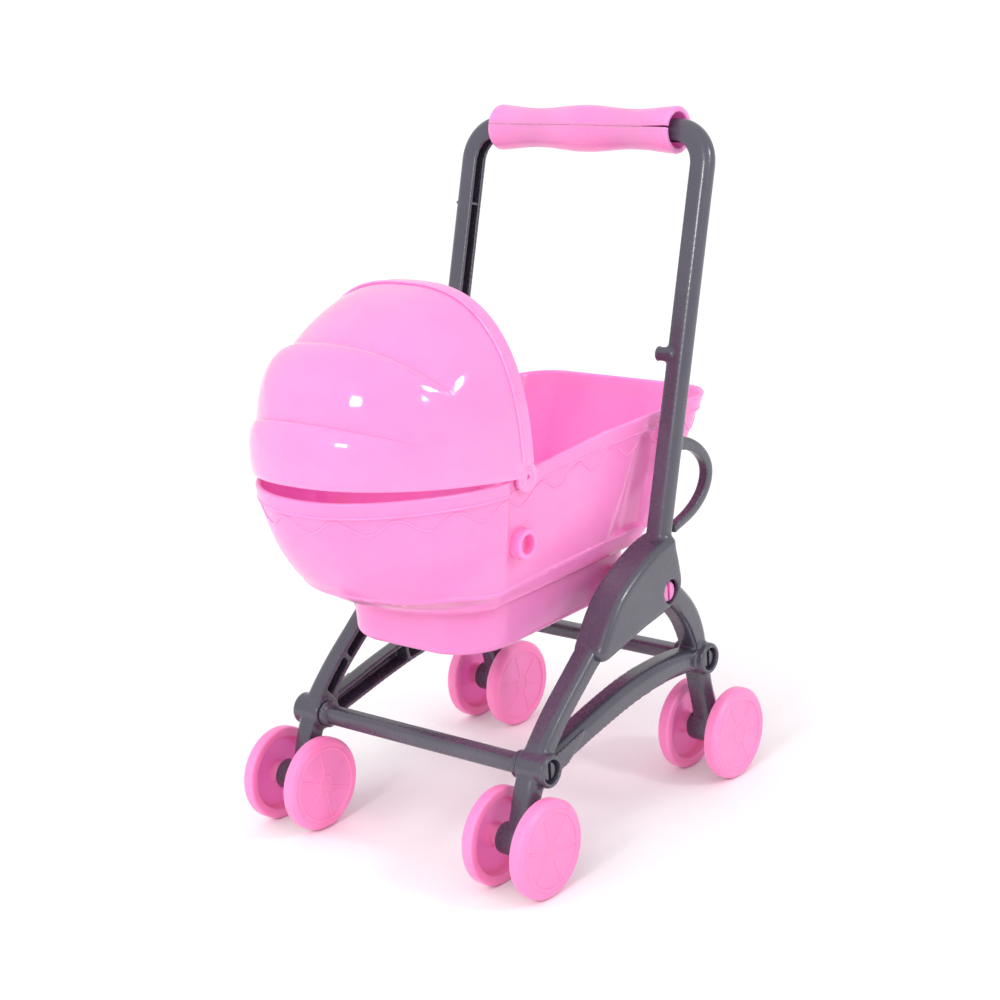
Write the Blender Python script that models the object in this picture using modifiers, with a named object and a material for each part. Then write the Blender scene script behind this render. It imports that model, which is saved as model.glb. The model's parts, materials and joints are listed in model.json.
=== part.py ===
"""Doll stroller: a grey push frame on four twin-wheel sets, with a pink bassinet tub and a domed hood.

Axes: +X is the stroller's left, -Y its front, +Z up. The origin is on the floor, under the middle of the
stroller's length and width. Lengths are in metres, worked out from millimetres with MM.
"""
import math

import bmesh
import bpy
from mathutils import Matrix, Vector

MM = 0.001
GAP = 0.3 * MM                       # clearance between pieces that touch

# ---- driving dimensions ----
HALF_LENGTH = 89.2 * MM              # from the middle to the hood's front lip, and to the tub's rear rim

WHEEL_RADIUS = 16.7 * MM
WHEEL_WIDTH = 5.3 * MM
WHEEL_TRACK = 50.5 * MM              # middle of a twin set, from the centre plane
HOUSING_HALF = 7.3 * MM              # half the length of an axle housing
FRONT_AXLE_Y = -48.9 * MM
REAR_AXLE_Y = 62.5 * MM
AXLE_RADIUS = 1.5 * MM
WHEEL_SEGMENTS = 24
WHEEL_GAP = 0.4 * MM                 # from a wheel to its axle housing
WEB_DEPTH = 1.2 * MM                 # from a wheel's middle plane out to the back of its web

LEG_INNER_X = 46.0 * MM              # the side frame lies between these two planes
LEG_OUTER_X = 54.0 * MM
LEG_WALL = 1.5 * MM
FRONT_BOSS = (-38.2 * MM, 38.6 * MM)     # (y, z) of the crossbars' snap bosses
REAR_BOSS = (55.4 * MM, 46.8 * MM)
BOSS_RADIUS = 5.7 * MM
BOSS_BORE = 4.0 * MM
BOSS_OUTER_X = 56.7 * MM
HUB = (32.7 * MM, 79.0 * MM)             # (y, z) of the pin that joins tray, side frame and handle
HUB_BORE = 4.3 * MM
HUB_RADIUS = 7.2 * MM                 # the side frame's disc round the hub bore

RAKE = math.radians(16.3)            # the handle leans back by this much
UPRIGHT_X = 51.3 * MM
UPRIGHT_FOOT = (34.4 * MM, 96.0 * MM)    # (y, z) where an upright's centre line leaves its hub cover
HANDLE_RUN = 141.5 * MM              # along the rake, from there to the middle of the grip bar
BAR_WIDTH = 8.2 * MM                 # in the handle's plane
BAR_DEPTH = 6.6 * MM
BAR_WALL = 1.4 * MM
BAR_CORNER = 12.0 * MM
COVER_INNER_X = 44.8 * MM            # the hub cover stands outside and inside the side frame
COVER_OUTER_X = 57.2 * MM
COVER_WALL = 1.6 * MM

GRIP_HALF = 39.5 * MM
GRIP_BORE = 6.2 * MM

TRAY_BOTTOM = 73.0 * MM
TRAY_TOP = 89.7 * MM
TRAY_HALF_WIDTH = 32.0 * MM
TRAY_FRONT_Y = -44.2 * MM
TRAY_REAR_Y = 50.0 * MM
TRAY_CORNER = 17.0 * MM
SHELL = 1.8 * MM                     # wall of the tray, the tub and the hood

TUB_BOTTOM = 90.0 * MM
TUB_RIM = 138.0 * MM
TUB_HALF_WIDTH = 43.2 * MM           # behind the hood's pivots
TUB_CORNER = 16.0 * MM               # the corners of its tail
TAIL_CROWN = 1.5 * MM                # the tail bows out by this much towards its middle
RIM_FRONT_Y = -87.8 * MM
RIM_DIP = 3.5 * MM                   # the rim drops by this much beside the pivots
RIM_CLIMB = 3.5 * MM                 # and climbs by this much from there to the front
BOWL_HALF_WIDTH = 45.2 * MM          # in front of them, where the wall steps out
STEP_Y = -36.8 * MM
PIVOT = (-26.8 * MM, 134.0 * MM)     # (y, z) of the hood's hinge
PIVOT_STUD = 1.8 * MM
TAB_RADIUS = 5.0 * MM
TAB_OUTER_X = 45.6 * MM
SOCKET = (-27.9 * MM, 111.6 * MM)        # (y, z) of the moulded socket under each pivot
SOCKET_RADIUS = 5.0 * MM
SOCKET_BORE = 3.3 * MM

HOOD_RISE = 60.7 * MM                # from the pivots to the top of the arch
HOOD_REACH = 62.3 * MM               # from the pivots to the front lip
HOOD_LIP = 6.5                       # degrees above level, seen from the pivots
HOOD_REAR_Y = -23.3 * MM
CREASES = (25.3, 48.8)               # degrees above level of the two folds in the dome
CREASE_RADIUS = 63.2 * MM            # from the pivots to the bottom of a fold

PINK = (1.0, 0.30, 0.68, 1.0)
DEEP_PINK = (0.98, 0.22, 0.60, 1.0)
GREY = (0.13, 0.13, 0.16, 1.0)
STEEL = (0.62, 0.62, 0.64, 1.0)

SIDES = (("left", 1), ("right", -1))
ENDS = (("front", FRONT_AXLE_Y), ("rear", REAR_AXLE_Y))

# local X, Y, Z of a flat outline to world Y, Z, X: the outline lies in a side plane
SIDE_PLANE = Matrix(((0, 0, 1, 0), (1, 0, 0, 0), (0, 1, 0, 0), (0, 0, 0, 1)))
# local Z to world X, for pieces turned about a lateral axis
LATERAL = Matrix(((0, 0, 1, 0), (0, 1, 0, 0), (-1, 0, 0, 0), (0, 0, 0, 1)))


def clear_scene():
    for obj in list(bpy.data.objects):
        bpy.data.objects.remove(obj, do_unlink=True)


def collection(name):
    made = bpy.data.collections.new(name)
    bpy.context.scene.collection.children.link(made)
    return made


clear_scene()
PARTS = collection("doll_stroller")
CUTTERS = collection("cutters")


def plastic(name, colour, roughness, metallic=0.0):
    made = bpy.data.materials.new(name)
    made.use_nodes = True
    shader = made.node_tree.nodes["Principled BSDF"]
    shader.inputs["Base Color"].default_value = colour
    shader.inputs["Roughness"].default_value = roughness
    shader.inputs["Metallic"].default_value = metallic
    return made


def finish(obj, colour, roughness=0.3, metallic=0.0):
    """Put an object among the parts, with a material of its own and smooth round faces."""
    obj.data.materials.clear()
    obj.data.materials.append(plastic(obj.name + "_finish", colour, roughness, metallic))
    obj.data.shade_smooth()
    obj.data.set_sharp_from_angle(angle=math.radians(35))
    PARTS.objects.link(obj)
    return obj


def helper(obj):
    """Put an object among the cutters, out of the render."""
    CUTTERS.objects.link(obj)
    obj.hide_render = True
    obj.display_type = "WIRE"
    return obj


def boolean(obj, operation, other):
    change = obj.modifiers.new(operation.lower() + "_" + other.name, "BOOLEAN")
    change.operation = operation
    change.solver = "EXACT"
    change.object = helper(other)


def join(obj, other):
    boolean(obj, "UNION", other)


def cut(obj, other):
    boolean(obj, "DIFFERENCE", other)


def mesh_object(name, bm):
    mesh = bpy.data.meshes.new(name)
    bmesh.ops.recalc_face_normals(bm, faces=bm.faces[:])
    bm.to_mesh(mesh)
    bm.free()
    return bpy.data.objects.new(name, mesh)


def curve_to_mesh(name, curve, place):
    """Turn a curve into a welded mesh object at the given place."""
    source = bpy.data.objects.new(name + "_curve", curve)
    bpy.context.scene.collection.objects.link(source)
    source.matrix_world = place
    bpy.context.view_layer.update()
    seen = source.evaluated_get(bpy.context.evaluated_depsgraph_get())
    mesh = bpy.data.meshes.new_from_object(seen)
    bm = bmesh.new()
    bm.from_mesh(mesh)
    bmesh.ops.remove_doubles(bm, verts=bm.verts[:], dist=1e-6)
    bmesh.ops.recalc_face_normals(bm, faces=bm.faces[:])
    bm.to_mesh(mesh)
    bm.free()
    made = bpy.data.objects.new(name, mesh)
    made.matrix_world = source.matrix_world.copy()
    bpy.data.objects.remove(source, do_unlink=True)
    return made


def slab(name, outline, low, high, plane=SIDE_PLANE, edge=0.0, edge_steps=1):
    """A flat outline, extruded from low to high along the plane's normal, with rounded edges."""
    curve = bpy.data.curves.new(name, "CURVE")
    curve.dimensions = "2D"
    curve.fill_mode = "BOTH"
    curve.extrude = (high - low) / 2 - edge
    curve.bevel_depth = edge
    curve.bevel_resolution = edge_steps - 1
    curve.offset = -edge
    spline = curve.splines.new("POLY")
    spline.points.add(len(outline) - 1)
    for point, (u, v) in zip(spline.points, outline):
        point.co = (u, v, 0.0, 1.0)
    spline.use_cyclic_u = True
    return curve_to_mesh(name, curve, plane @ Matrix.Translation((0, 0, (low + high) / 2)))


def side_slab(name, outline, low_x, high_x, side, edge=0.0, edge_steps=1):
    """A slab in a side plane, given for the left and moved to the right when side is -1."""
    low, high = sorted((side * low_x, side * high_x))
    return slab(name, outline, low, high, SIDE_PLANE, edge, edge_steps)


def cylinder(name, radius, low_x, high_x, yz, side=1, segments=32, edge=0.0, end_radius=None):
    """A cylinder or cone about a lateral axis, between two X planes."""
    low, high = sorted((side * low_x, side * high_x))
    start = radius if side > 0 or end_radius is None else end_radius
    stop = radius if end_radius is None or side < 0 else end_radius
    bm = bmesh.new()
    bmesh.ops.create_cone(bm, cap_ends=True, segments=segments, radius1=start, radius2=stop, depth=high - low)
    if edge:
        rims = [e for e in bm.edges if len(e.link_faces) == 2 and max(len(f.verts) for f in e.link_faces) > 4]
        bmesh.ops.bevel(bm, geom=rims, offset=edge, segments=2, profile=0.5, affect="EDGES")
    made = mesh_object(name, bm)
    made.matrix_world = Matrix.Translation(((low + high) / 2, yz[0], yz[1])) @ LATERAL
    return made


def box(name, low, high):
    bm = bmesh.new()
    bmesh.ops.create_cube(bm, size=1.0)
    for vert in bm.verts:
        vert.co = [low[i] + (vert.co[i] + 0.5) * (high[i] - low[i]) for i in range(3)]
    return mesh_object(name, bm)


def turned(name, profile, segments):
    """A profile of (radius, height) points, from the top of the axis down to its bottom, turned about Z."""
    mesh = bpy.data.meshes.new(name)
    points = [(r, 0.0, h) for r, h in profile]
    mesh.from_pydata(points, [(i, i + 1) for i in range(len(points) - 1)], [])
    made = bpy.data.objects.new(name, mesh)
    screw = made.modifiers.new("turn", "SCREW")
    screw.axis = "Z"
    screw.steps = segments
    screw.render_steps = segments
    screw.use_merge_vertices = True
    screw.merge_threshold = 1e-5
    return made


def smooth(points, per_span=2):
    """A Catmull-Rom line through the points."""
    line = []
    for i in range(len(points) - 1):
        p0 = points[max(i - 1, 0)]
        p1 = points[i]
        p2 = points[i + 1]
        p3 = points[min(i + 2, len(points) - 1)]
        for k in range(per_span):
            t = k / per_span
            line.append(tuple(0.5 * (2 * b + (c - a) * t + (2 * a - 5 * b + 4 * c - d) * t * t
                                     + (3 * b - a - 3 * c + d) * t ** 3)
                              for a, b, c, d in zip(p0, p1, p2, p3)))
    line.append(tuple(points[-1]))
    return line


def ribbon(points, per_span=2):
    """The outline of a strip along a smooth line. Each point is (u, v, width)."""
    line = smooth(points, per_span)
    left, right = [], []
    for i, (u, v, width) in enumerate(line):
        ahead = line[min(i + 1, len(line) - 1)]
        behind = line[max(i - 1, 0)]
        along = Vector((ahead[0] - behind[0], ahead[1] - behind[1])).normalized()
        left.append((u - along.y * width / 2, v + along.x * width / 2))
        right.append((u + along.y * width / 2, v - along.x * width / 2))
    return left + right[::-1]


def scaled(points):
    return [tuple(value * MM for value in point) for point in points]


def narrowed(points, by):
    return [(u, v, width - by) for u, v, width in points]


# ---- wheels and axles ----

def wheel_profile():
    """Half section of a wheel: spoked face on top, dished back below, with a blind bore for the axle."""
    top = WHEEL_WIDTH / 2
    rim = WHEEL_RADIUS
    web = WEB_DEPTH
    return [(0.0, top - 0.4 * MM), (12.4 * MM, top - 0.4 * MM), (12.9 * MM, top), (rim - 1.2 * MM, top),
            (rim, top - 1.4 * MM), (rim, -top + 0.7 * MM), (rim - 0.7 * MM, -top), (13.2 * MM, -top),
            (12.2 * MM, web), (4.0 * MM, web), (3.4 * MM, -top + 0.4 * MM),
            (AXLE_RADIUS + 0.15 * MM, -top + 0.4 * MM), (AXLE_RADIUS + 0.15 * MM, web), (0.0, web)]


def wheel(name, centre_x, axle_y, facing):
    """One wheel, its spoked face turned to +X or -X."""
    made = turned(name, wheel_profile(), WHEEL_SEGMENTS)
    made.matrix_world = (Matrix.Translation((centre_x, axle_y, WHEEL_RADIUS))
                         @ Matrix.Rotation(math.radians(90 * facing), 4, "Y"))
    finish(made, PINK, 0.35)


def axle(name, side, axle_y):
    reach = HOUSING_HALF + WHEEL_GAP + WHEEL_WIDTH / 2 + WEB_DEPTH - GAP
    centre = side * WHEEL_TRACK
    made = cylinder(name, AXLE_RADIUS, centre - reach, centre + reach, (axle_y, WHEEL_RADIUS), 1, 16)
    finish(made, STEEL, 0.25, 1.0)


def wheel_sets():
    offset = HOUSING_HALF + WHEEL_GAP + WHEEL_WIDTH / 2
    for end, axle_y in ENDS:
        for word, side in SIDES:
            place = end + "_" + word
            axle("axle_" + place, side, axle_y)
            wheel("wheel_" + place + "_outer", side * (WHEEL_TRACK + offset), axle_y, side)
            wheel("wheel_" + place + "_inner", side * (WHEEL_TRACK - offset), axle_y, -side)


# ---- side frames ----

# centre lines in the side plane, as (y, z, width) in mm
FRONT_LEG = scaled([(28.2, 79.5, 9.0), (12.2, 76.5, 8.4), (-4.8, 68.2, 8.0), (-15.5, 60.6, 8.0),
                    (-26.9, 51.6, 8.0), (-36.4, 42.1, 8.2), (-42.2, 33.5, 7.6), (-45.8, 24.5, 7.0),
                    (-48.4, 17.0, 6.6)])
REAR_LEG = scaled([(32.7, 79.0, 12.0), (40.8, 72.2, 13.0), (47.2, 64.2, 13.0), (51.2, 56.0, 11.4),
                   (53.8, 47.0, 8.6), (56.4, 38.0, 7.2), (59.4, 27.5, 6.8), (62.2, 17.0, 6.6)])
STRUT = scaled([(-37.6, 37.8, 8.4), (-22.8, 40.6, 8.8), (-4.8, 44.4, 9.2), (14.2, 47.5, 9.4),
                (33.2, 48.2, 9.2), (51.7, 46.8, 8.6)])
# the channels on the inner side stop short of the bosses
FRONT_CHANNEL = scaled([(9.2, 75.0, 8.4), (-4.8, 68.2, 8.0), (-15.5, 60.6, 8.0), (-26.9, 51.6, 8.0),
                        (-34.0, 44.8, 8.0)])
REAR_CHANNEL = scaled([(39.4, 73.6, 11.0), (43.7, 68.9, 13.0), (47.2, 64.2, 13.0), (50.7, 56.5, 11.4)])
STRUT_CHANNEL = scaled([(-30.6, 39.1, 8.6), (-22.8, 40.6, 8.8), (-4.8, 44.4, 9.2), (14.2, 47.5, 9.4),
                        (33.2, 48.2, 9.2), (44.2, 47.6, 8.8)])


def channel_cutter(name, points, side):
    return side_slab(name, ribbon(narrowed(points, 2 * LEG_WALL)), LEG_INNER_X - 1.0 * MM,
                     LEG_OUTER_X - LEG_WALL - 0.2 * MM, side)


def side_frame(word, side):
    """Front leg, rear leg and strut in one moulding, with its axle housings, snap bosses and hub."""
    name = "side_frame_" + word
    frame = side_slab(name, ribbon(FRONT_LEG), LEG_INNER_X, LEG_OUTER_X, side, 1.4 * MM)
    join(frame, side_slab(name + "_rear_leg", ribbon(REAR_LEG), LEG_INNER_X + 0.1 * MM,
                          LEG_OUTER_X - 0.1 * MM, side, 1.3 * MM))
    join(frame, side_slab(name + "_strut", ribbon(STRUT), LEG_INNER_X + 0.2 * MM,
                          LEG_OUTER_X - 0.2 * MM, side, 1.2 * MM))
    for index, boss in enumerate((FRONT_BOSS, REAR_BOSS)):
        join(frame, cylinder(name + f"_boss_{index}", BOSS_RADIUS, LEG_INNER_X - 1.2 * MM, BOSS_OUTER_X,
                             boss, side, 20, 0.6 * MM))
    for end, axle_y in ENDS:
        join(frame, cylinder(name + "_housing_" + end, 5.5 * MM, WHEEL_TRACK - HOUSING_HALF,
                             WHEEL_TRACK + HOUSING_HALF, (axle_y, WHEEL_RADIUS), side, 20))
    join(frame, cylinder(name + "_hub", HUB_RADIUS, LEG_INNER_X + 0.3 * MM, LEG_OUTER_X - 0.3 * MM, HUB,
                         side, 24))
    cut(frame, channel_cutter(name + "_front_channel", FRONT_CHANNEL, side))
    cut(frame, channel_cutter(name + "_rear_channel", REAR_CHANNEL, side))
    cut(frame, channel_cutter(name + "_strut_channel", STRUT_CHANNEL, side))
    for index, boss in enumerate((FRONT_BOSS, REAR_BOSS)):
        cut(frame, cylinder(name + f"_bore_{index}", BOSS_BORE, 40 * MM, 62 * MM, boss, side, 20))
    for end, axle_y in ENDS:
        cut(frame, cylinder(name + "_axle_bore_" + end, AXLE_RADIUS + GAP, 40 * MM, 62 * MM,
                            (axle_y, WHEEL_RADIUS), side, 16))
    cut(frame, cylinder(name + "_hub_bore", HUB_BORE, 40 * MM, 62 * MM, HUB, side, 20))
    finish(frame, GREY, 0.35)


# ---- crossbars ----

def split_pin(bar, name, radius, start_x, end_x, yz, side):
    """A snap pin with a slot across its end."""
    join(bar, cylinder(name, radius, start_x, end_x, yz, side, 16))
    slot = 0.6 * MM
    low, high = sorted((side * (end_x - 7 * MM), side * (end_x + 1 * MM)))
    cut(bar, box(name + "_slot", (low, yz[0] - slot, yz[1] - 6 * MM), (high, yz[0] + slot, yz[1] + 6 * MM)))


def crossbar(name, yz, stretch):
    """A round rod between the side frames, with a collar and a snap pin at each end."""
    collar_x = LEG_INNER_X - 1.2 * MM - GAP
    bar = cylinder(name, 3.0 * MM, -collar_x + 1 * MM, collar_x - 1 * MM, (0, 0), 1, 16)
    bar.data.transform(Matrix.Diagonal((stretch[1], stretch[0], 1, 1)))
    bar.matrix_world = Matrix.Translation((0, yz[0], yz[1])) @ LATERAL
    for word, side in SIDES:
        join(bar, cylinder(name + "_collar_" + word, 4.8 * MM, collar_x - 2.2 * MM, collar_x, yz, side, 20))
    for word, side in SIDES:
        split_pin(bar, name + "_pin_" + word, BOSS_BORE - GAP, collar_x - 1 * MM, BOSS_OUTER_X - 1.2 * MM,
                  yz, side)
    finish(bar, GREY, 0.35)


# ---- handle ----

def handle_plane():
    """The plane of the handle: X across, Y up along the rake, Z towards the front."""
    up = Vector((0, math.sin(RAKE), math.cos(RAKE)))
    out = Vector((0, -math.cos(RAKE), math.sin(RAKE)))
    foot = Vector((0, UPRIGHT_FOOT[0], UPRIGHT_FOOT[1]))
    return Matrix(((1, up.x, out.x, foot.x), (0, up.y, out.y, foot.y), (0, up.z, out.z, foot.z), (0, 0, 0, 1)))


def u_line(foot, stop_x):
    """Half of the handle's centre line in its plane, from the foot up, round the corner, to stop_x."""
    line = [(UPRIGHT_X, foot), (UPRIGHT_X, HANDLE_RUN * 0.5)]
    for step in range(7):
        turn = math.radians(90 * step / 6)
        line.append((UPRIGHT_X - BAR_CORNER + BAR_CORNER * math.cos(turn),
                     HANDLE_RUN - BAR_CORNER + BAR_CORNER * math.sin(turn)))
    line.append((stop_x, HANDLE_RUN))
    return line


def u_ribbon(line, inner, outer):
    """A strip along the handle's line, from inner to outer of it, both measured away from the middle."""
    near, far = [], []
    for i, (x, s) in enumerate(line):
        ahead = line[min(i + 1, len(line) - 1)]
        behind = line[max(i - 1, 0)]
        along = Vector((ahead[0] - behind[0], ahead[1] - behind[1])).normalized()
        near.append((x - along.y * inner, s + along.x * inner))
        far.append((x + along.y * outer, s - along.x * outer))
    return near + far[::-1]


# outline of a hub cover in the side plane, as (y, z) in mm, from its lower tip round by the rear
COVER = scaled([(-7.8, 65.6), (2.2, 66.8), (16.7, 69.6), (30.2, 72.2), (37.6, 75.2), (40.4, 80.6),
                (39.6, 87.0), (38.1, 94.0), (36.8, 98.0), (27.4, 99.4), (20.2, 95.2), (10.2, 90.4),
                (0.8, 84.0), (-6.4, 76.4), (-10.4, 69.6)])
# the finger loop behind each upright, as (y, z, width) in mm
LOOP = scaled([(45.7, 128.8, 4.6), (54.0, 126.4, 4.4), (61.0, 122.2, 4.2), (65.2, 116.4, 4.2),
               (65.0, 110.4, 4.2), (60.8, 104.6, 4.0), (53.2, 100.0, 3.6), (41.2, 96.2, 3.0)])
PEG = (51.7 * MM, 158.0 * MM)


def hub_cover(name, side):
    return side_slab(name, COVER, COVER_INNER_X, COVER_OUTER_X, side, 1.8 * MM, 2)


def cover_pocket(name, side):
    """The hollow of a hub cover: the cover's outline drawn in by its wall, open on the inner side."""
    middle = Vector((18.0 * MM, 82.0 * MM))
    outline = []
    for point in COVER:
        away = Vector(point) - middle
        outline.append(tuple(middle + away * (1 - COVER_WALL / away.length)))
    return side_slab(name, outline, COVER_INNER_X - 1 * MM, COVER_OUTER_X - COVER_WALL, side)


def handle():
    """U-shaped bar with a hub cover, a finger loop and a peg on each side, all in one moulding."""
    plane = handle_plane()
    half = u_line(-6 * MM, 0.0)
    line = half[:-1] + [(-x, s) for x, s in half[:-1][::-1]]
    bar = slab("handle", u_ribbon(line, BAR_WIDTH / 2, BAR_WIDTH / 2), -BAR_DEPTH / 2, BAR_DEPTH / 2, plane,
               1.2 * MM)
    for word, side in SIDES:
        join(bar, hub_cover("handle_cover_" + word, side))
        join(bar, side_slab("handle_loop_" + word, ribbon(LOOP), 49.2 * MM, 53.7 * MM, side, 0.8 * MM))
        join(bar, cylinder("handle_peg_" + word, 3.1 * MM, 42.4 * MM, 50.0 * MM, PEG, side, 16, 0.8 * MM))
    for word, side in SIDES:
        cut(bar, cover_pocket("handle_pocket_" + word, side))
        clear = 2 * GAP + 0.2 * MM
        for leg, points in (("front", FRONT_LEG), ("rear", REAR_LEG)):
            cut(bar, side_slab("handle_" + leg + "_way_" + word, ribbon(narrowed(points, -clear)),
                               LEG_INNER_X - 3 * MM, LEG_OUTER_X + GAP, side))
        cut(bar, cylinder("handle_hub_way_" + word, HUB_RADIUS + 0.5 * MM, LEG_INNER_X - 3 * MM,
                          LEG_OUTER_X + GAP, HUB, side, 24))
        cut(bar, cylinder("handle_hub_bore_" + word, HUB_BORE, 40 * MM, 62 * MM, HUB, side, 20))
        rail = [(side * x, s) for x, s in u_line(8 * MM, 34 * MM)]
        hollow = u_ribbon(rail, side * BAR_WIDTH, side * (BAR_WIDTH / 2 - BAR_WALL))
        cut(bar, slab("handle_channel_" + word, hollow, -BAR_DEPTH / 2 + BAR_WALL, BAR_DEPTH / 2 - BAR_WALL,
                      plane))
    finish(bar, GREY, 0.35)


def grip_radius(x):
    """Outer radius of the grip: full at the middle and the ends, waisted between."""
    along = abs(x) / GRIP_HALF
    return (7.75 + 0.75 * math.cos(2 * math.pi * min(along, 1.0) * 0.93)) * MM


def grip_half(name, facing):
    """One of the two grip shells, which meet on a seam that faces the front."""
    stations = [GRIP_HALF * (1 - 2 * i / 12) for i in range(13)]
    outer = [(grip_radius(x), x) for x in stations]
    outer[0] = (outer[0][0] - 0.8 * MM, GRIP_HALF)
    outer[-1] = (outer[-1][0] - 0.8 * MM, -GRIP_HALF)
    inner = [(GRIP_BORE, -GRIP_HALF)]
    for rib in (-26.0 * MM, 26.0 * MM):
        inner += [(GRIP_BORE, rib - 0.8 * MM), (5.1 * MM, rib - 0.8 * MM), (5.1 * MM, rib + 0.8 * MM),
                  (GRIP_BORE, rib + 0.8 * MM)]
    inner.append((GRIP_BORE, GRIP_HALF))
    shell = turned(name, outer + inner + [outer[0]], 20)
    middle = handle_plane() @ Matrix.Translation((0, HANDLE_RUN, 0))
    shell.matrix_world = middle @ Matrix.Rotation(math.radians(90), 4, "Y")
    reach = 60 * MM
    low, high = (0.1 * MM, reach) if facing > 0 else (-reach, -0.1 * MM)
    keep = box(name + "_side", (-reach, low, -reach), (reach, high, reach))
    keep.matrix_world = middle
    boolean(shell, "INTERSECT", keep)
    finish(shell, PINK, 0.35)


# ---- base tray ----

def rounded_box_outline(half_width, low_y, high_y, corner, steps=5):
    outline = []
    for cx, cy, start in ((half_width - corner, high_y - corner, 0), (-half_width + corner, high_y - corner, 90),
                          (-half_width + corner, low_y + corner, 180), (half_width - corner, low_y + corner, 270)):
        for step in range(steps + 1):
            turn = math.radians(start + 90 * step / steps)
            outline.append((cx + corner * math.cos(turn), cy + corner * math.sin(turn)))
    return outline


def base_tray():
    """A shallow box, open on top under the tub, with a pin through each hub."""
    level = Matrix.Identity(4)
    outline = rounded_box_outline(TRAY_HALF_WIDTH, TRAY_FRONT_Y, TRAY_REAR_Y, TRAY_CORNER)
    tray = slab("base_tray", outline, TRAY_BOTTOM, TRAY_TOP + 3 * MM, level, 2.4 * MM, 2)
    pin_end = COVER_OUTER_X - 1.4 * MM
    for word, side in SIDES:
        join(tray, cylinder("tray_arm_" + word, 5.8 * MM, TRAY_HALF_WIDTH - 3 * MM, LEG_INNER_X - 1.4 * MM, HUB,
                            side, 24))
    inside = rounded_box_outline(TRAY_HALF_WIDTH - SHELL, TRAY_FRONT_Y + SHELL, TRAY_REAR_Y - SHELL,
                                 TRAY_CORNER - SHELL)
    cut(tray, slab("tray_hollow", inside, TRAY_BOTTOM + SHELL, TRAY_TOP + 9 * MM, level))
    reach = 60 * MM
    cut(tray, box("tray_top", (-reach, -2 * reach, TRAY_TOP), (reach, 2 * reach, TRAY_TOP + reach)))
    for word, side in SIDES:
        split_pin(tray, "tray_pin_" + word, HUB_BORE - GAP, LEG_INNER_X - 3 * MM, pin_end, HUB, side)
    finish(tray, DEEP_PINK, 0.3)


# ---- tub ----

def between(low, high, t):
    return low + (high - low) * t


def tub_level(z):
    """Half-width, front reach and rear reach of the tub's outer wall at a height."""
    t = min(max((z - TUB_BOTTOM) / (TUB_RIM - TUB_BOTTOM), 0.0), 1.0)
    bulge = (1 - (1 - t) ** 1.7) ** (1 / 1.7)
    half = between(36.0 * MM, TUB_HALF_WIDTH, t ** 0.5)
    front = between(-50.8 * MM, RIM_FRONT_Y, bulge)
    rear = between(55.2 * MM, HALF_LENGTH, t ** 0.9)
    return half, front, rear


def quarter(turn, power):
    """A point on a unit superellipse, for a turn of 0 to a quarter."""
    return math.cos(turn) ** (2 / power), math.sin(turn) ** (2 / power)


def tub_ring(z, inset, step_out):
    """One level ring of the tub's wall, from the front round by the left. Each point is (x, y, rise)."""
    half, front, rear = tub_level(z)
    half -= inset
    front += inset
    rear -= inset
    bowl = half + step_out
    reach = front - PIVOT[0]
    end = math.asin((STEP_Y - PIVOT[0]) / reach)
    right = []
    for i in range(1, 11):
        turn = between(math.pi / 2, end, i / 10)
        right.append((bowl * math.cos(turn), PIVOT[0] + reach * math.sin(turn), math.sin(turn) ** 1.6))
    right.append((half, STEP_Y + 1.2 * MM, 0.0))
    corner = TUB_CORNER - inset
    right.append((half, (STEP_Y + rear - corner) / 2, -1.0))
    for i in range(7):
        across, behind = quarter(math.pi / 2 * i / 6, 2.3)
        crown = TAIL_CROWN * (1 - across)
        right.append((half - corner + corner * across, rear - TAIL_CROWN - corner + corner * behind + crown, -1.0))
    ring = [(0.0, front, 1.0)] + right + [(0.0, rear, -1.0)]
    return ring + [(-x, y, rise) for x, y, rise in right[::-1]]


def rim_height(z, rise):
    """Heights near the rim follow it: level behind the pivots, lower beside them, rising to the front."""
    share = max((z - TUB_BOTTOM) / (TUB_RIM - TUB_BOTTOM), 0.0)
    top = TUB_RIM if rise < 0 else TUB_RIM - RIM_DIP + RIM_CLIMB * rise
    return between(TUB_BOTTOM, top, share)


def loft(name, rings):
    """A closed solid through rings of equal length, with a flat face on the first and the last."""
    bm = bmesh.new()
    rows = [[bm.verts.new(point) for point in ring] for ring in rings]
    count = len(rows[0])
    for low, high in zip(rows, rows[1:]):
        for i in range(count):
            bm.faces.new((low[i], low[(i + 1) % count], high[(i + 1) % count], high[i]))
    bm.faces.new(rows[0][::-1])
    bm.faces.new(rows[-1])
    return mesh_object(name, bm)


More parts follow.
